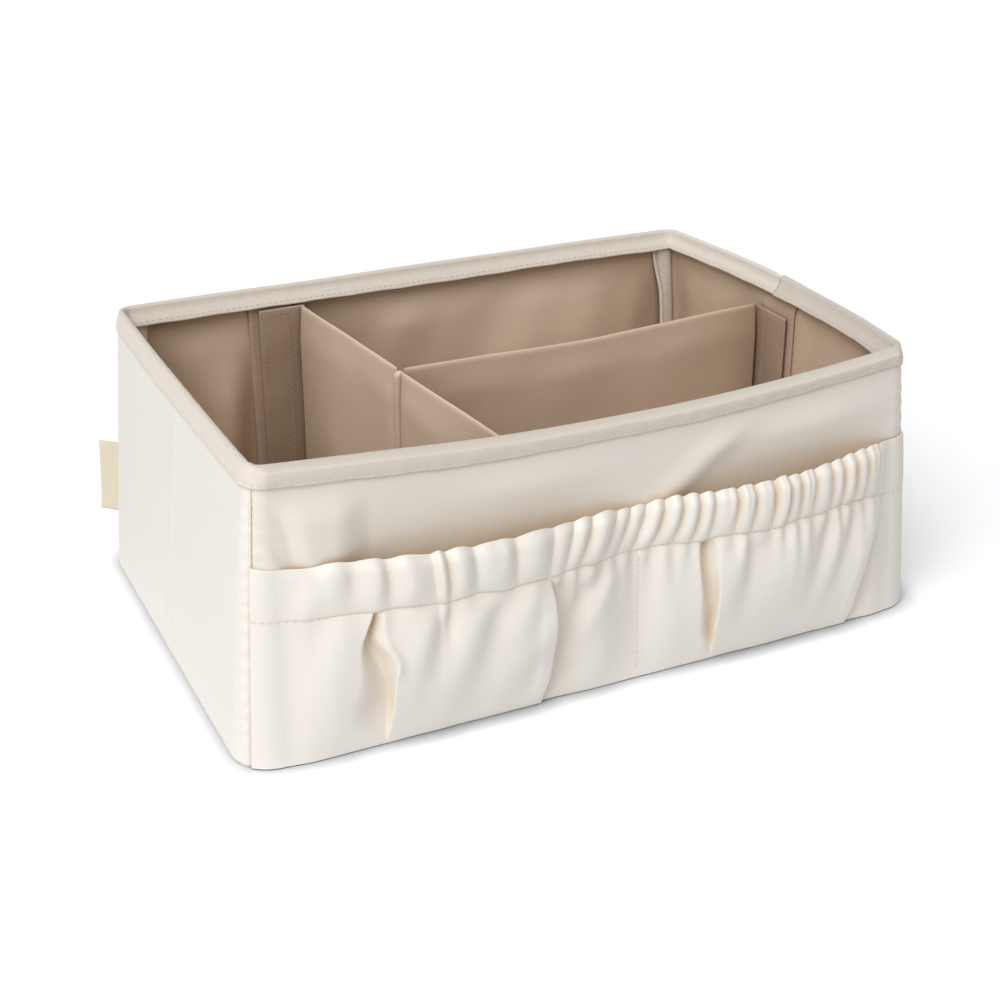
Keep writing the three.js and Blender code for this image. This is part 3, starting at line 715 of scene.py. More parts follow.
def fin(name, wx, wy):
    """A U that starts in the corner's diagonal and bends over to the long wall, further so
    near its top: out along one side, half round, and back."""
    z = np.linspace(FLOOR_Z + SEAT, HEIGHT - TAPE_DROP - SEAT, 60)[:, None]
    t, turn = doubled(8)
    r = corner_at(z)
    root = np.sqrt((r - WALL - SEAT) ** 2 - 1.44)
    bent = 0.5 * ripple(z, wx * 300 + wy * 700, 45, 61) + 4.5 + 4 * ramp(z, 106, 134)
    d = root - (FIN_WIDTH - FIN_HALF) * t - FIN_HALF * np.sin(turn)
    e = FIN_HALF * np.cos(turn) + bent * t**2
    x, y = wx * (HALF_L - r + (d - e) * DIAGONAL), wy * (HALF_W - r + (d + e) * DIAGONAL)
    middle = settle(np.stack([x, y, np.broadcast_to(z, x.shape)], -1))
    if wx * wy < 0:
        middle = middle[:, ::-1]
    piece = cloth(name, middle, 0.6, grosgrain, cut_of(middle)[..., ::-1])
    bound = name.replace("fin", "binding")
    lay(piece, "grosgrain_binding", bound, (21, 129), "folded", ["lining_base"])
    out = normals_of(middle)[:, 4]
    path, sizes = middle[:, 4] + out * 0.3, (2.4, 1.0, 0.4)
    sew(f"{name}_stitches", path, out, tape_thread, "grosgrain_binding", sizes)


for row_name, wy in (("front", -1), ("rear", 1)):
    for end_name, wx in (("left", -1), ("right", 1)):
        fin(f"corner_fin_{row_name}_{end_name}", wx, wy)
print("four bound seams")

# %% [markdown]
# ## Corner seams outside
# The panels are sewn together face to face, so outside only a groove and its thread show.

# %% Corner seam stitches
SEAM_STITCH = (3.0, 0.7, 0.5)
SEAMS = {"front": "front_left", "right": "front_right", "rear": "rear_right", "left": "rear_left"}
z = np.linspace(4, HEIGHT - TAPE_DROP - 3, 160)
for after, name in SEAMS.items():
    path = settle(on_wall(after, -2.0, z, 0.35))
    out = path - settle(on_wall(after, -2.0, z, 4.0))
    sew(f"seam_stitches_{name}", path, out, thread, "cream_satin", SEAM_STITCH)
print("four corner seams")

# %% [markdown]
# ## Gathered pocket
# One wide cloth is pleated into the bottom seam, gathered on an elastic near its mouth and
# sewn down right of the middle, which makes two pockets. Cloth simulation could crumple
# it, but its folds sit in known places, so they are written down: two blouses between
# overlapping pleats, ridges with sharp valleys along the casing, and a teardrop section
# where the mouth folds back over the elastic.

# %% Pocket sizes and the gathers along it
STITCH_X, HEM_Z, MOUTH_Z, END_DROP, CASING, GAPE = 14.5, 0.6, 101.0, 1.5, 25.0, 11.0
STITCH_Z = MOUTH_Z - CASING
ELASTIC, ELASTIC_WIDTH = 1.2, 16.0
ON_CLOTH = SEAT + COVER / 2
FLAT_TUNNEL = SEAT + COVER + SEAT + ELASTIC / 2
POCKET_END = HALF_L - corner_at(STITCH_Z)
CORNER_RUN = 9.0  # what half a corner counts in x
LEFT_VALLEYS = (-186, -172, -155, -138, -121, -100, -93, -79, -58, -40, -31, -22, -8, 1, 11)
RIGHT_VALLEYS = (22, 33, 43, 52, 66, 76, 88, 96, 105, 114, 126, 134, 143, 152, 163, 172, 186)
VALLEYS = np.array(LEFT_VALLEYS + RIGHT_VALLEYS, float)


def stand(x):
    """How far the mouth stands off the wall: a power of a sine between its sewn ends."""
    left = (x + POCKET_END) / (STITCH_X + POCKET_END)
    right = (x - STITCH_X) / (POCKET_END - STITCH_X)
    share = np.clip(np.where(x < STITCH_X, left, right), 0, 1)
    return GAPE * np.sin(np.pi * share) ** 1.15


def rise(x):
    """How far the casing sinks at its left end."""
    return -END_DROP * ramp(-x, 120, 178)


def end_flat(x):
    """1 at the sewn ends, where the casing lies flat on the wall, and 0 inside them."""
    return ramp(np.abs(x), POCKET_END - 14, POCKET_END + 2)


def count_of(x):
    """Number of the valley before a place, and the share of the way to the next one."""
    return np.interp(x, VALLEYS, np.arange(len(VALLEYS)))


def per_gather(x, seed, low, high):
    """One random number for each gather."""
    return np.random.default_rng(seed).uniform(low, high, len(VALLEYS))[count_of(x).astype(int)]


def ridge(x):
    """Gathers: half a sine between two valleys, so ridges are round and valleys sharp. To
    the left it goes over to a squared sine, which is soft in the valleys too."""
    s, sharp = np.sin(np.pi * count_of(x)), ramp(x, -130, -60)
    both = (np.sqrt(s * s + 0.02) - 0.14) * sharp + s * s * (1 - sharp)
    return per_gather(x, 75, 0.55, 1.2) * both


def split(x):
    """Smaller folds in some of the gathers: two squared sines between a pair of valleys."""
    return np.maximum(per_gather(x, 76, -0.5, 1), 0) * np.sin(2 * np.pi * count_of(x)) ** 2


def gather(x):
    """Height of the gathers in millimetres: none at the left end, full from the middle."""
    grown = ramp(x, -172, -112) * (3.0 + 0.9 * ramp(x, -70, 0))
    return grown * (1 - ramp(x, 156, 174)) * (1 + 0.4 * ripple(x, 0, 31, 73))


print("gathers along the mouth:", len(VALLEYS) - 1)


# %% The cloth below the casing
SOFT_FOLDS = (  # place at the casing, lean, width and height of the soft folds
    (-160, -0.25, 12, -1.8), (-143, -0.3, 10, 1.6), (-103, -0.2, 6, 1.8), (-92, -0.25, 6, -2.2),
    (-77, -0.3, 8, 2.4), (-65, -0.25, 6, -1.8), (-52, -0.15, 8, 2.4), (-18, -0.75, 8, 2.2),
    (-4, -0.8, 7, -1.6), (6, -0.7, 6, 1.6), (26, -0.1, 6, 2.2), (69, -0.15, 5, 1.8),
    (82, -0.2, 6, -2.0), (106, -0.15, 10, 2.2), (126, -0.2, 4.5, -2.4), (136, -0.3, 5, 1.6),
    (146, -0.3, 4, -1.4), (157, -0.3, 5, 1.8),
)
LIP = 2.2  # how far a folded edge hangs over, and how wide that is


def fold_edges(z):
    """Places of the four folded edges, which lean and hook on their way up."""
    return (
        -123.5 + 4 * ramp(z, 0, 24) - 6 * ramp(z, 46, 68),
        -40.5 + 1.5 * ramp(z, 4, 40),
        59.5 - 1.5 * ramp(z, 40, 70),
        145.5 + 0.27 * z - 4.5 * ramp(z, 2, 26) * (1 - ramp(z, 38, 76)),
    )


def hollow(x, flank, edge, deepest):
    """A pleat that opens to the left: the cloth falls from the flank to a deepest line, a
    share of the way across, and rises from there to the folded edge."""
    across = (x - flank) / (edge - flank)
    return -ramp(across, 0, deepest) * (1 - ramp(across, deepest, 1))


def pleats(x, z):
    """Height of the pleats and how far their edges hang over. At the first and third edge
    the cloth lies in a hollow; at the others it rolls, steps down and comes back slowly."""
    first, second, third, fourth = fold_edges(z)
    flank = -138.5 + 8 * ramp(z, 54, 80) - 6 * hump(z, 22, 13) + 9 * (1 - ramp(z, -4, 20))
    left = hollow(x, flank, first, 0.86 - 0.56 * ramp(z, 30, 64)) * ramp(78 - z, 0, 9)
    flank = third - 4 - 8 * ramp(z, -4, 30)
    right = hollow(x, flank, third, 0.84 - 0.5 * ramp(z, 26, 62)) * ramp(78 - z, 0, 7)
    curl = hump(x, first - 1 - 4 * ramp(z, 44, 66), 3.4) * ramp(z, 34, 48) * (1 - ramp(z, 56, 68))
    folds = ramp(z, 0, 26) * (6.4 * left + 5.6 * right) + 2.2 * curl
    over = (1 - ramp(z, 34, 54)) * hump(x, first + 0.6, LIP)
    over = over + (1 - ramp(z, 50, 70)) * hump(x, third + 0.6, LIP)
    over = over * ramp(z, 0, 26)
    step_deep = (0.2 + 0.8 * ramp(z, 0, 18)) * (1 - ramp(z, 62, 76))
    for edge, deep, back in ((second, 7.5, 34), (fourth, 6.5, 30)):
        step = deep * ramp(x - edge, -0.9, 0.9) * (1 - ramp(x, edge, edge + back))
        folds = folds + step_deep * (1.2 * hump(x, edge - 3, 4) - step)
        over = over - step_deep * hump(x, edge - 0.6, LIP)
    return folds, LIP * over


def below_casing(x, h, z):
    """Place along the wall and distance off it. The cloth runs from the hem out to the
    casing in one soft bulge with its pleats and folds on it. At a folded edge x runs past
    the edge, so that the cloth overlaps. All folds die out at the casing."""
    sides, flat = ramp(stand(x), 0, 4), end_flat(x)
    out = (FLAT_TUNNEL + 0.45 + stand(x) - ON_CLOTH) * (1 - flat) + 0.45 * flat
    off = out * (1 - (1 - h) ** 1.8) + 3.2 * sides * np.sin(np.pi * h) ** 0.9
    off = off + 1.6 * (1 - flat) * (1 - h)
    folds, over = pleats(x, z)
    fall = STITCH_Z - z
    strength = ramp(fall, -2, 14) * (1 - 0.8 * ramp(fall, 14, 66))
    for place, lean, width, height in SOFT_FOLDS:
        bell = hump(x, place + lean * fall, width * (1 + 0.012 * fall))
        folds = folds + height * strength * bell
    held = np.minimum(ramp(h, 0, 0.2), ramp(1 - h, 0, 0.25))
    folds = folds + 0.7 * ripple(x + 0.3 * (z - 40), 0.25 * z, 48, 81) * held
    reach = 5 + 8 * (0.5 + 0.5 * ripple(x, 0, 27, 74))
    soft = np.sin(np.pi * count_of(x)) ** 2
    fade = np.exp((z - STITCH_Z - rise(x)) / reach) * (0.36 + 0.64 * ramp(1 - h, 0, 0.08))
    above = off + folds * sides + 0.75 * soft * gather(x) * fade
    rounded = 1.6 * np.minimum(1, sides * 4 * np.minimum(h, 1 - h))
    return x - over, ON_CLOTH + (above + np.sqrt(above**2 + rounded**2)) / 2


print("folds at the hem:", np.round(fold_edges(0.0), 1))


# %% The casing over the elastic
def casing(x, turn):
    """A teardrop: height goes with one minus the cosine of the turn, width with a power
    of its sine. The gathers push the outer face out and lean, and scallop the mouth."""
    h = (1 - np.cos(turn)) / 2
    z = STITCH_Z + rise(x) + CASING * h
    tilt = -0.1 + 0.5 * hump(x, 2, 45) + 0.12 * ramp(x, 10, 60)
    lean = x - tilt * (z - STITCH_Z)
    wave = (ridge(lean) + 0.28 * split(lean) * ramp(h, 0.2, 0.8)) * gather(x)
    slack = ramp(-x, 90, 130) * ripple(x - 0.6 * z, 0, 28, 93) * ramp(x, -176, -160)
    wave = wave + 0.9 * slack
    free, flat = ramp(stand(x), 0, 4), end_flat(x)
    wide = 0.45 + 1.8 * np.abs(np.sin(turn)) ** 0.7 * (0.4 + 0.6 * free)
    outer = wide + wave * (0.25 + 0.75 * np.sin(np.pi * np.clip(h, 0, 0.62) / 1.24))
    inner = -wide - 0.35 * wave * free * np.sin(np.pi * h)
    crown = ramp(h, 0.8, 1.0)
    over = crown * (0.5 * wave + wide * np.sin(turn))
    off = np.where(turn <= np.pi, outer, inner) * (1 - crown) + over
    z = z + 2.0 * (wave / 3 - 0.4) * ramp(h, 0.5, 1) + 0.5 * ripple(x, 0, 60, 91) * h
    mouth = hump(x, -184, 9) - 2.5 * hump(x, STITCH_X, 16) - 1.5 * ramp(x, 150, 180)
    seam = 0.9 * ripple(x, 0, 24, 92) * ramp(x, -170, -120) - 7 * ramp(x, 140, 180)
    off = (FLAT_TUNNEL + stand(x) + off) * (1 - flat)
    off = off + (ON_CLOTH + 0.45 * (1 + np.sin(turn))) * flat
    return z + mouth * h + seam * (1 - h), np.maximum(off, ON_CLOTH)


print("the casing is", CASING, "mm high")

# %% The whole pocket cloth
turn_c = np.linspace(1, SEAM_END, 12)[1:]
column = np.concatenate([-turn_c[::-1], np.linspace(-1, 1, 721), turn_c])[None]
past_end = np.maximum(np.abs(column) - 1, 0) * CORNER_RUN
plain_x = np.sign(column) * (np.minimum(np.abs(column), 1) * POCKET_END + past_end)


def on_front(x, z, off):
    """The front wall again, by millimetres along it instead of columns."""
    past = np.sign(x) * (1 + (np.abs(x) - POCKET_END) / CORNER_RUN)
    c = np.where(np.abs(x) <= POCKET_END, x / POCKET_END, past)
    return settle(on_wall("front", c, z, -off))


casing_z, casing_off = casing(plain_x, np.linspace(0, 2 * np.pi, 64)[:, None])
h = (np.linspace(0, 1, 72)[:-1] ** 0.9)[:, None]
z_low = HEM_Z + (casing_z[:1] - HEM_Z) * h
x_low, off_low = below_casing(np.broadcast_to(plain_x, z_low.shape), h, z_low)
x_all = np.concatenate([x_low, np.broadcast_to(plain_x, casing_z.shape)])
z_all, off_all = np.concatenate([z_low, casing_z]), np.concatenate([off_low, casing_off])
middle = on_front(x_all, z_all, off_all)
bulge = normals_of(middle)
pocket_face, pocket_back = middle + bulge * COVER / 2, middle - bulge * COVER / 2
pocket_uv = cut_of(middle)
STITCH_ROW = len(h)
gathered = pocket_uv[STITCH_ROW + 12, :, 0]  # lengths over the gathers
print("pocket grid", middle.shape[:2], "cut width", round(float(gathered[-1])), "mm")

# %% [markdown]
# The pocket opens by stretching between its sewn ends. Each pocket is split at its middle
# into two parts, each listed with its sewn end and loose middle; all are built in place.

# %% Pocket pieces, elastic and stitches
LEFT_MID, RIGHT_MID = -81.0, 95.0
POCKET_PARTS = (  # sewn end, loose middle and body
    (-174.0, LEFT_MID, "pocket_left"),
    (STITCH_X, LEFT_MID, "pocket_left"),
    (STITCH_X, RIGHT_MID, "pocket_right"),
    (174.0, RIGHT_MID, "pocket_right"),
)
at_x = lambda x: int(np.argmin(np.abs(plain_x[0] - x)))  # number of the nearest column
cuts = [0, at_x(LEFT_MID), at_x(STITCH_X), at_x(RIGHT_MID), plain_x.shape[1] - 1]
band_first, band_stop = at_x(-POCKET_END + 20), at_x(POCKET_END - 20)
band_z = np.linspace(-ELASTIC_WIDTH / 2, ELASTIC_WIDTH / 2, 7)[:, None]
band_z = band_z + STITCH_Z + CASING * 0.53 + rise(plain_x)
band_x = np.broadcast_to(plain_x, band_z.shape)
band = on_front(band_x, band_z, FLAT_TUNNEL + stand(plain_x))
seam_path, seam_out = pocket_face[STITCH_ROW + 1], bulge[STITCH_ROW + 1]
for k, (sewn, loose, body) in enumerate(POCKET_PARTS):
    part = slice(cuts[k], cuts[k + 1] + 1)
    bend = ("box", body, (sewn * MM, -0.124, 0.05), (loose * MM, -0.124, 0.05))
    name, faces = f"pocket_cloth_{k + 1}", (pocket_face[:, part], pocket_back[:, part])
    piece = shell(name, *faces, satin, pocket_uv[:, part], bulge[:, part])
    flat = (np.ptp(gathered[part]), running(middle[:, part], 0)[-1].mean())
    lay(piece, "cream_satin", body, flat, "gathered", ["outer_front"], bend=bend)
    strap = band[:, max(part.start, band_first) : min(part.stop, band_stop)]
    piece = cloth(f"pocket_elastic_{k + 1}", strap, ELASTIC, woven_rubber)
    flat, inside = (running(strap[:1], 1)[0, -1], ELASTIC_WIDTH), body.replace("pocket", "elastic")
    lay(piece, "elastic", inside, flat, "stretched", [name], bend=bend)
    row_name, sizes = f"casing_stitches_{k + 1}", (3.0, 0.6, 0.55)
    sew(row_name, seam_path[part], seam_out[part], thread, "cream_satin", sizes, bend=bend)
down = slice(4, STITCH_ROW), at_x(STITCH_X)
sew("centre_stitches", pocket_face[down], bulge[down], thread, "cream_satin", SEAM_STITCH)
print("pocket in 4 parts")

# %% [markdown]
# ## Divider
# Three padded leaves hang together on one upright seam. Each is a foam board in a sleeve
# of lining cloth: a tall loop with a round top, carried along the leaf, a little thicker
# where the foam fills it and pinched where it is sewn.

# %% Leaves
SEAM_X, SEAM_Y, LEAF_TOP, LEAF_LOW, LEAF_HALF, FOAM_HALF = -59.4, -4.0, 134.4, 5.0, 3.0, 1.8
ROOT, ROOT_ROUND, END_ROUND = 2.6, 0.8, 2.2  # distance from the seam, and round ends


def leaf_points(length, degrees, seed, sinks, half, low, high, root):
    """A loop up one face, over a half round top, down the other face and under, with a
    half thickness that swells with soft waves, thins out to the top and closes at both
    ends as a quarter round."""
    turn = np.linspace(0, np.pi / 2, 8)
    start, stop = root + ROOT_ROUND * (1 - np.cos(turn)), length - END_ROUND * (1 - np.sin(turn))
    a = np.concatenate([start, np.linspace(root + 1.2, length - 2.6, 110), stop])[:, None]
    ends = 1 + (root - a) / ROOT_ROUND, 1 + (a - length) / END_ROUND
    close = np.prod([np.sqrt(1 - np.clip(e, 0, 1) ** 2) for e in ends], 0)
    up = low + (high - half - low) * np.linspace(0, 1, 46)
    arc = np.linspace(0, np.pi, 15)[1:-1]
    z = np.concatenate([up, high - half + half * np.sin(arc), up[::-1]])[None]
    n = np.concatenate([np.ones(46), np.cos(arc), -np.ones(46)])[None]
    face = np.where(n > 0, 1, -1)
    slack = ripple(a * face + seed * 50, 0.7 * z, 55, seed) * ramp(high - z, 2, 20)
    pinch = 1 - 0.45 * (1 - ramp(a, root, root + 7))
    thin = 1 - 0.6 * ramp(z, high - 20, high - 0.3 * half)
    side = n * (half + 0.18 * half * slack) * pinch * close * thin
    top = (0.5 * ripple(a, 0, 70, seed + 1) - sinks * ramp(a, 0, 130)) * ramp(z, 30, high)
    angle = np.radians(degrees)
    x = SEAM_X + a * np.cos(angle) - side * np.sin(angle)
    y = SEAM_Y + a * np.sin(angle) + side * np.cos(angle)
    return np.stack([x, y, np.broadcast_to(z + top, x.shape)], -1)


def leaf(name, length, *shape):
    """The sleeve, and the foam board inside it, which keeps 1.2 mm away from it."""
    p = leaf_points(length, *shape, LEAF_HALF, LEAF_LOW, LEAF_TOP, ROOT)
    sleeve = rings(f"{name}_leaf_sleeve", p, lining_cloth)
    seat(sleeve, "taupe_lining", f"{name}_leaf_cover", f"{name}_leaf")
    p = leaf_points(length - 1.6, *shape, FOAM_HALF, LEAF_LOW + 0.5, LEAF_TOP - 1.4, ROOT + 1.6)
    core = rings(f"{name}_leaf_foam", p, foam)
    seat(core, "foam_board", f"{name}_leaf_board", f"{name}_leaf")


# length, direction in degrees, seed of the waves, and how far the top sinks
leaf("rear", 117.3, 95.4, 101, 0.0)
leaf("front", 103.1, -84.6, 103, 0.0)
leaf("long", 233.5, 6.0, 105, 6.0)
print("three leaves")

# %% [markdown]
# Where the leaves meet, their cloth is caught in one seam. On the left face it stands out
# as an upright ridge with a row of stitches on each side.


# %% Ridge at the meeting of the leaves
def ridge_bead():
    """A round bead whose radius swells to the left and closes over its top."""
    turn = np.linspace(0, 2 * np.pi, 28, endpoint=False)[None]
    t = np.linspace(0, np.pi / 2, 9)[1:]
    low, high = LEAF_LOW + 0.5, LEAF_TOP - 3.5
    z = np.concatenate([[low], np.linspace(low, high, 60), high + 3.0 * np.sin(t)])[:, None]
    size = np.concatenate([[0.0], np.ones(60), np.cos(t)])[:, None]
    r = 2.7 + 0.5 * np.maximum(-np.cos(turn), 0) ** 2 + 0.1 * ripple(z, turn * 6, 22, 111)
    x = SEAM_X + size * r * np.cos(turn)
    y = SEAM_Y + size * r * np.sin(turn)
    p = np.stack([x, y, np.broadcast_to(z, x.shape)], -1)
    return rings("leaf_seam_ridge", p, lining_cloth)


bead = seat(ridge_bead(), "taupe_lining", "divider_seam", "divider_seam")
z = np.linspace(LEAF_LOW + 4, LEAF_TOP - 6, 100)[:, None]
for name, turn in (("rear", 2.5), ("front", -2.92)):
    way = np.array([np.cos(turn), np.sin(turn), 0.0])
    path = np.array([SEAM_X, SEAM_Y, 0.0]) + 3.05 * way + z * UP
    row_name, sizes = f"ridge_stitches_{name}", (2.6, 1.0, 0.4)
    sew(row_name, path, way, taupe_thread, "taupe_lining", sizes, body="divider_seam")
print("ridge and its stitches")

# %% [markdown]
# ## Tabs, hook tape and loop strips
# At its end each leaf carries a flap of the same cloth, turned along the wall. Hook tape
# on its back grips a loop strip that is sewn to the lining.


# %% Tabs
TAB_LOW, TAB_OVER = 5.2, 6.2  # lower edge, and how far the flap laps over the leaf
TAB_STITCH = (2.6, 0.9, 0.4)
TABS = {  # hinge, way along the wall, way into the compartment, top, width and two bodies
    "rear": ((-74.79, 114.15), (-1, 0), (0, -1), 134.2, 20.5, "rear_leaf", "rear_tab"),
    "front": ((-53.79, -108.02), (-1, 0), (0, 1), 129.4, 24.0, "front_leaf", "front_tab"),
    "right": ((174.29, 16.34), (0, -1), (-1, 0), 127.0, 24.0, "long_leaf", "right_tab"),
}


def tab(name, hinge, along, high, wide, leaf_body, tab_body):
    """A flat flap that starts over the leaf's end, with soft edges and a faint swell."""
    back = np.array([along[1], -along[0], 0.0])
    lap = np.linspace(-TAB_OVER, 0, 8, endpoint=False)
    s = np.concatenate([lap, np.linspace(0, wide, 34)])[None]
    z = np.linspace(TAB_LOW, high, 90)[:, None]
    swell = 0.22 * ripple(s, z, 28, 121) * ramp(s, 1, 8) * ramp(wide - s, 0, 5)
    middle = hinge + s[..., None] * along + swell[..., None] * back + z[..., None] * UP
    if np.cross(along, UP) @ back < 0:
        middle = middle[:, ::-1]
    piece = cloth(f"tab_{name}_flap", middle, 1.2, tab_cloth, cut_of(middle))
    near, far = (tuple((hinge + d * along + 66 * UP) * MM) for d in (-1.8, 1.8))
    bend, flat = (leaf_body, tab_body, near, far), (wide + TAB_OVER, high - TAB_LOW)
    rests_on = [f"hook_tape_{name}"]
    lay(piece, "taupe_lining", f"tab_{name}", flat, "folded", rests_on, bend=bend)


def tab_stitches(name, hinge, along, into, high, wide, body):
    """Rows down both edges and across the top on the side towards the compartment."""
    down = np.linspace(TAB_LOW + 3, high - 3, 80)[:, None] * UP
    across = np.linspace(4.0, wide - 2.6, 24)[:, None] * along
    face = hinge + 0.62 * into
    rows = {
        "free": face + (wide - 2.6) * along + down,
        "root": face + 4.0 * along + down,
        "top": face + across + (high - 3) * UP,
    }
    for which, path in rows.items():
        row_name = f"tab_{name}_stitches_{which}"
        sew(row_name, path, into, taupe_thread, "taupe_lining", TAB_STITCH, body=body)


for name, (hinge, along, into, high, wide, leaf_body, tab_body) in TABS.items():
    hinge, along, into = (np.array([*a, 0.0]) for a in (hinge, along, into))
    tab(name, hinge, along, high, wide, leaf_body, tab_body)
    tab_stitches(name, hinge, along, into, high, wide, tab_body)
    s, z = np.meshgrid(np.linspace(4.0, wide - 2, 20), np.linspace(8.2, high - 3, 90))
    behind = 1.6 + 0.06 * ripple(s * 8, z * 8, 12, 131)
    middle = hinge + s[..., None] * along - behind[..., None] * into + z[..., None] * UP
    hooks = cloth(f"hooks_{name}", middle, 0.9, pile)
    flat, rests_on = (wide - 6, high - 11.2), [f"tab_{name}_flap"]
    lay(hooks, "hook_loop_tape", f"hook_tape_{name}", flat, "laid", rests_on, body=tab_body)
print("tabs:", list(TABS))


# %% Loop strips on the lining
def strip(name, low, high):
    """A strip that stands upright on the settled lining, with a faintly rough face."""
    z = np.linspace(FLOOR_Z + 4, HEIGHT - TAPE_DROP - 2 * SEAT, 90)
    r, z = np.meshgrid(np.linspace(low, high, 24), z)
    upright = 1 - ENDS_IN * z / HEIGHT
    depth = WALL + SEAT + 0.6 + pulled(name, z) + 0.08 * ripple(r * 6, z * 6, 14, 141)
    p, inward = {
        "rear": ((r[:, ::-1] / upright, HALF_W - depth, z), (0, -1, 0)),
        "front": ((r / upright, depth - HALF_W, z), (0, 1, 0)),
        "right": ((HALF_L - depth, r, z), (-1, 0, 0)),
    }[name]
    middle = settle(np.stack(p, -1))
    piece = cloth(f"loops_{name}", middle, 1.0, pile, cut_of(middle))
    flat, rests_on = (high - low, 127), [f"lining_{name}_cloth"]
    lay(piece, "hook_loop_tape", f"loop_strip_{name}", flat, "laid", rests_on)
    for which, col in (("a", 2), ("b", -3)):
        path = middle[2:-2, col] + 0.5 * np.array(inward)
        row_name = f"loops_{name}_stitches_{which}"
        sew(row_name, path, inward, taupe_thread, "hook_loop_tape", TAB_STITCH)


for name, (low, high) in STRIPS.items():
    strip(name, low, high)
print("loop strips:", list(STRIPS))

# %% [markdown]
# ## Label
# A short cotton tape folded in two and caught in the rear left seam. It is left blank.


# %% Label
LABEL_LOW, LABEL_HIGH, LABEL_LONG, LABEL_HALF = 27.0, 68.0, 13.2, 0.42


def label():
    """A U seen from above: out along the diagonal, half round, and back to the seam."""
    z = np.linspace(LABEL_LOW, LABEL_HIGH, 44)[:, None]
    t, turn = doubled(10)
    seam = settle(on_wall("rear", np.full_like(z, 2.0), z, 0.0))
    d = 0.6 + LABEL_LONG * t + LABEL_HALF * np.sin(turn)
    e = LABEL_HALF * np.cos(turn) + 0.5 * t**2 * np.sin(z / 42 * 5)
    x, y = seam[..., 0] - (d + e) * DIAGONAL, seam[..., 1] + (d - e) * DIAGONAL
    return np.stack([x, y, np.broadcast_to(z, x.shape)], -1)


middle = label()
tag = cloth("seam_label", middle, 0.38, cotton, cut_of(middle))
root = settle(on_wall("rear", np.array([2.0]), np.array([49.5]), 0.0))[0]
out = np.array([-1.0, 1.0, 0.0]) / np.sqrt(2)
bend = ("box", "label", *(tuple((root + d * out) * MM) for d in (0.4, 3.0)))
lay(tag, "label_cotton", "side_label", (28.5, 41), "folded", ["cover_rear"], bend=bend)
print("label", middle.shape)

# %% [markdown]
# ## Stage, light and camera
# A white sky all round, as in a light tent, and a wide sun from the upper left, whose
# shadow is soft. One lamp low at the front left draws out the folds of the pocket. Camera
# rays see the floor brighter than it is, so that it reads as white paper, with a painted
# contact shadow: darker in a thin line where something stands on it.

# %% Floor and world
floor_mesh = bpy.data.meshes.new("studio_floor")
floor_mesh.from_pydata([(-8, -8, 0), (8, -8, 0), (8, 8, 0), (-8, 8, 0)], [], [(0, 1, 2, 3)])
studio_floor = bpy.data.objects.new("studio_floor", floor_mesh)
bpy.context.collection.objects.link(studio_floor)
paper = bpy.data.materials.new("white paper floor")
paper.use_nodes = True
t = paper.node_tree
t.nodes.clear()
ray = add(t, "ShaderNodeLightPath").outputs
# The ambient occlusion node paints a contact shadow: the floor is darker within 13 mm of what
# stands on it.
bright = {"Color": (1.13, 1.15, 1.18, 1), "Distance": 0.013}
painted_contact_shadow = add(t, "ShaderNodeAmbientOcclusion", bright, samples=8).outputs["Color"]
tones = {0: ray["Is Camera Ray"], 6: (0.83, 0.845, 0.87, 1), 7: painted_contact_shadow}
tone = add(t, "ShaderNodeMix", tones, data_type="RGBA")
matte = add(t, "ShaderNodeBsdfDiffuse", {"Color": tone.outputs[2]})
add(t, "ShaderNodeOutputMaterial", {"Surface": matte.outputs[0]})
floor_mesh.materials.append(paper)

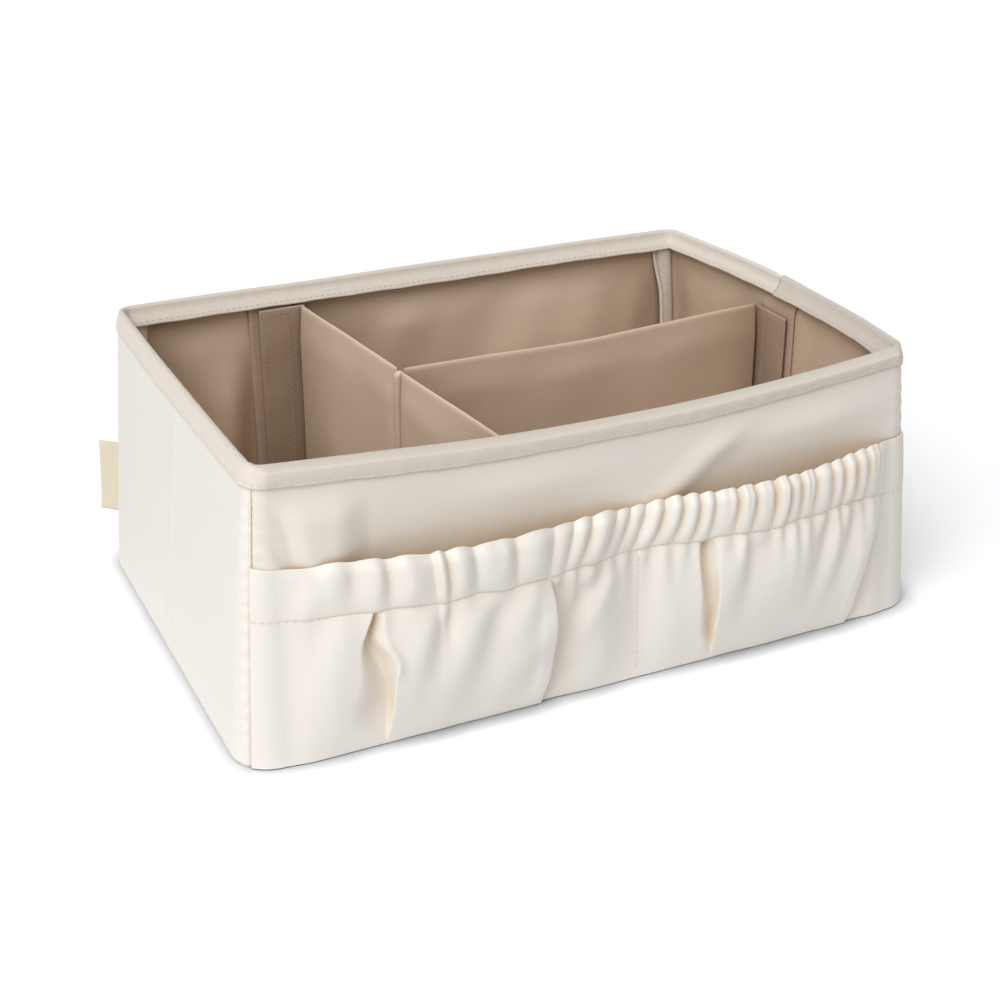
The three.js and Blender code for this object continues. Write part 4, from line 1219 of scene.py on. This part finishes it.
world = bpy.data.worlds.new("studio")
bpy.context.scene.world = world
world.use_nodes = True
t = world.node_tree
t.nodes.clear()
ray = add(t, "ShaderNodeLightPath").outputs
seen = maths(t, "MAXIMUM", ray["Is Camera Ray"], ray["Is Glossy Ray"])
seen = maths(t, "MAXIMUM", seen, ray["Is Transmission Ray"])
soft_sky = add(t, "ShaderNodeBackground", {"Color": (1, 0.975, 0.94, 1), "Strength": 0.35})
white = add(t, "ShaderNodeBackground", {"Color": (1, 1, 1, 1), "Strength": 1.0})
either = add(t, "ShaderNodeMixShader", {0: seen, 1: soft_sky.outputs[0], 2: white.outputs[0]})
add(t, "ShaderNodeOutputWorld", {"Surface": either.outputs[0]})
print("white stage")


# %% Lamps and camera
def lamp(name, kind, place, towards, energy, colour, **settings):
    """A lamp that shines from a place along a direction."""
    data = bpy.data.lights.new(name, kind)
    data.energy, data.color = energy, colour
    for key, value in settings.items():
        setattr(data, key, value)
    made = bpy.data.objects.new(name, data)
    made.location = place
    made.rotation_euler = Vector(towards).to_track_quat("-Z", "Y").to_euler()
    bpy.context.collection.objects.link(made)


towards, wide = (0.46, 0.36, -0.81), np.radians(50)
lamp("window", "SUN", (0, 0, 0), towards, 2.15, (0.99, 0.99, 1.0), angle=wide)
place, aim = Vector((-0.80, -0.56, 0.30)), Vector((-0.08, -0.10, 0.05))
lamp("left", "AREA", place, aim - place, 1.35, (1.0, 0.99, 0.98), size=0.35)

AZIMUTH, ELEVATION, DISTANCE = np.radians(-25.651), np.radians(25.312), 0.90015
FOCAL, SENSOR, PIXELS = 1652.4, 36.0, 1000  # focal length in pixels of a square picture
aim, level = np.array([-0.00075, 0.0, 0.05398]), np.cos(ELEVATION)
back = np.array([np.sin(AZIMUTH) * level, -np.cos(AZIMUTH) * level, np.sin(ELEVATION)])
camera = bpy.data.objects.new("camera", bpy.data.cameras.new("camera"))
camera.location = aim + back * DISTANCE
camera.rotation_euler = Vector(back).to_track_quat("Z", "Y").to_euler()
camera.data.sensor_width = SENSOR
camera.data.lens = FOCAL * SENSOR / PIXELS
camera.data.shift_y = -0.0116
camera.data.clip_end = 50
bpy.context.collection.objects.link(camera)
bpy.context.scene.camera = camera
bpy.context.scene.view_settings.view_transform = "Standard"
print("camera at", camera.location)

# %% [markdown]
# ## Finish
# The view layer is brought up to date.

# %% The end
bpy.context.view_layer.update()
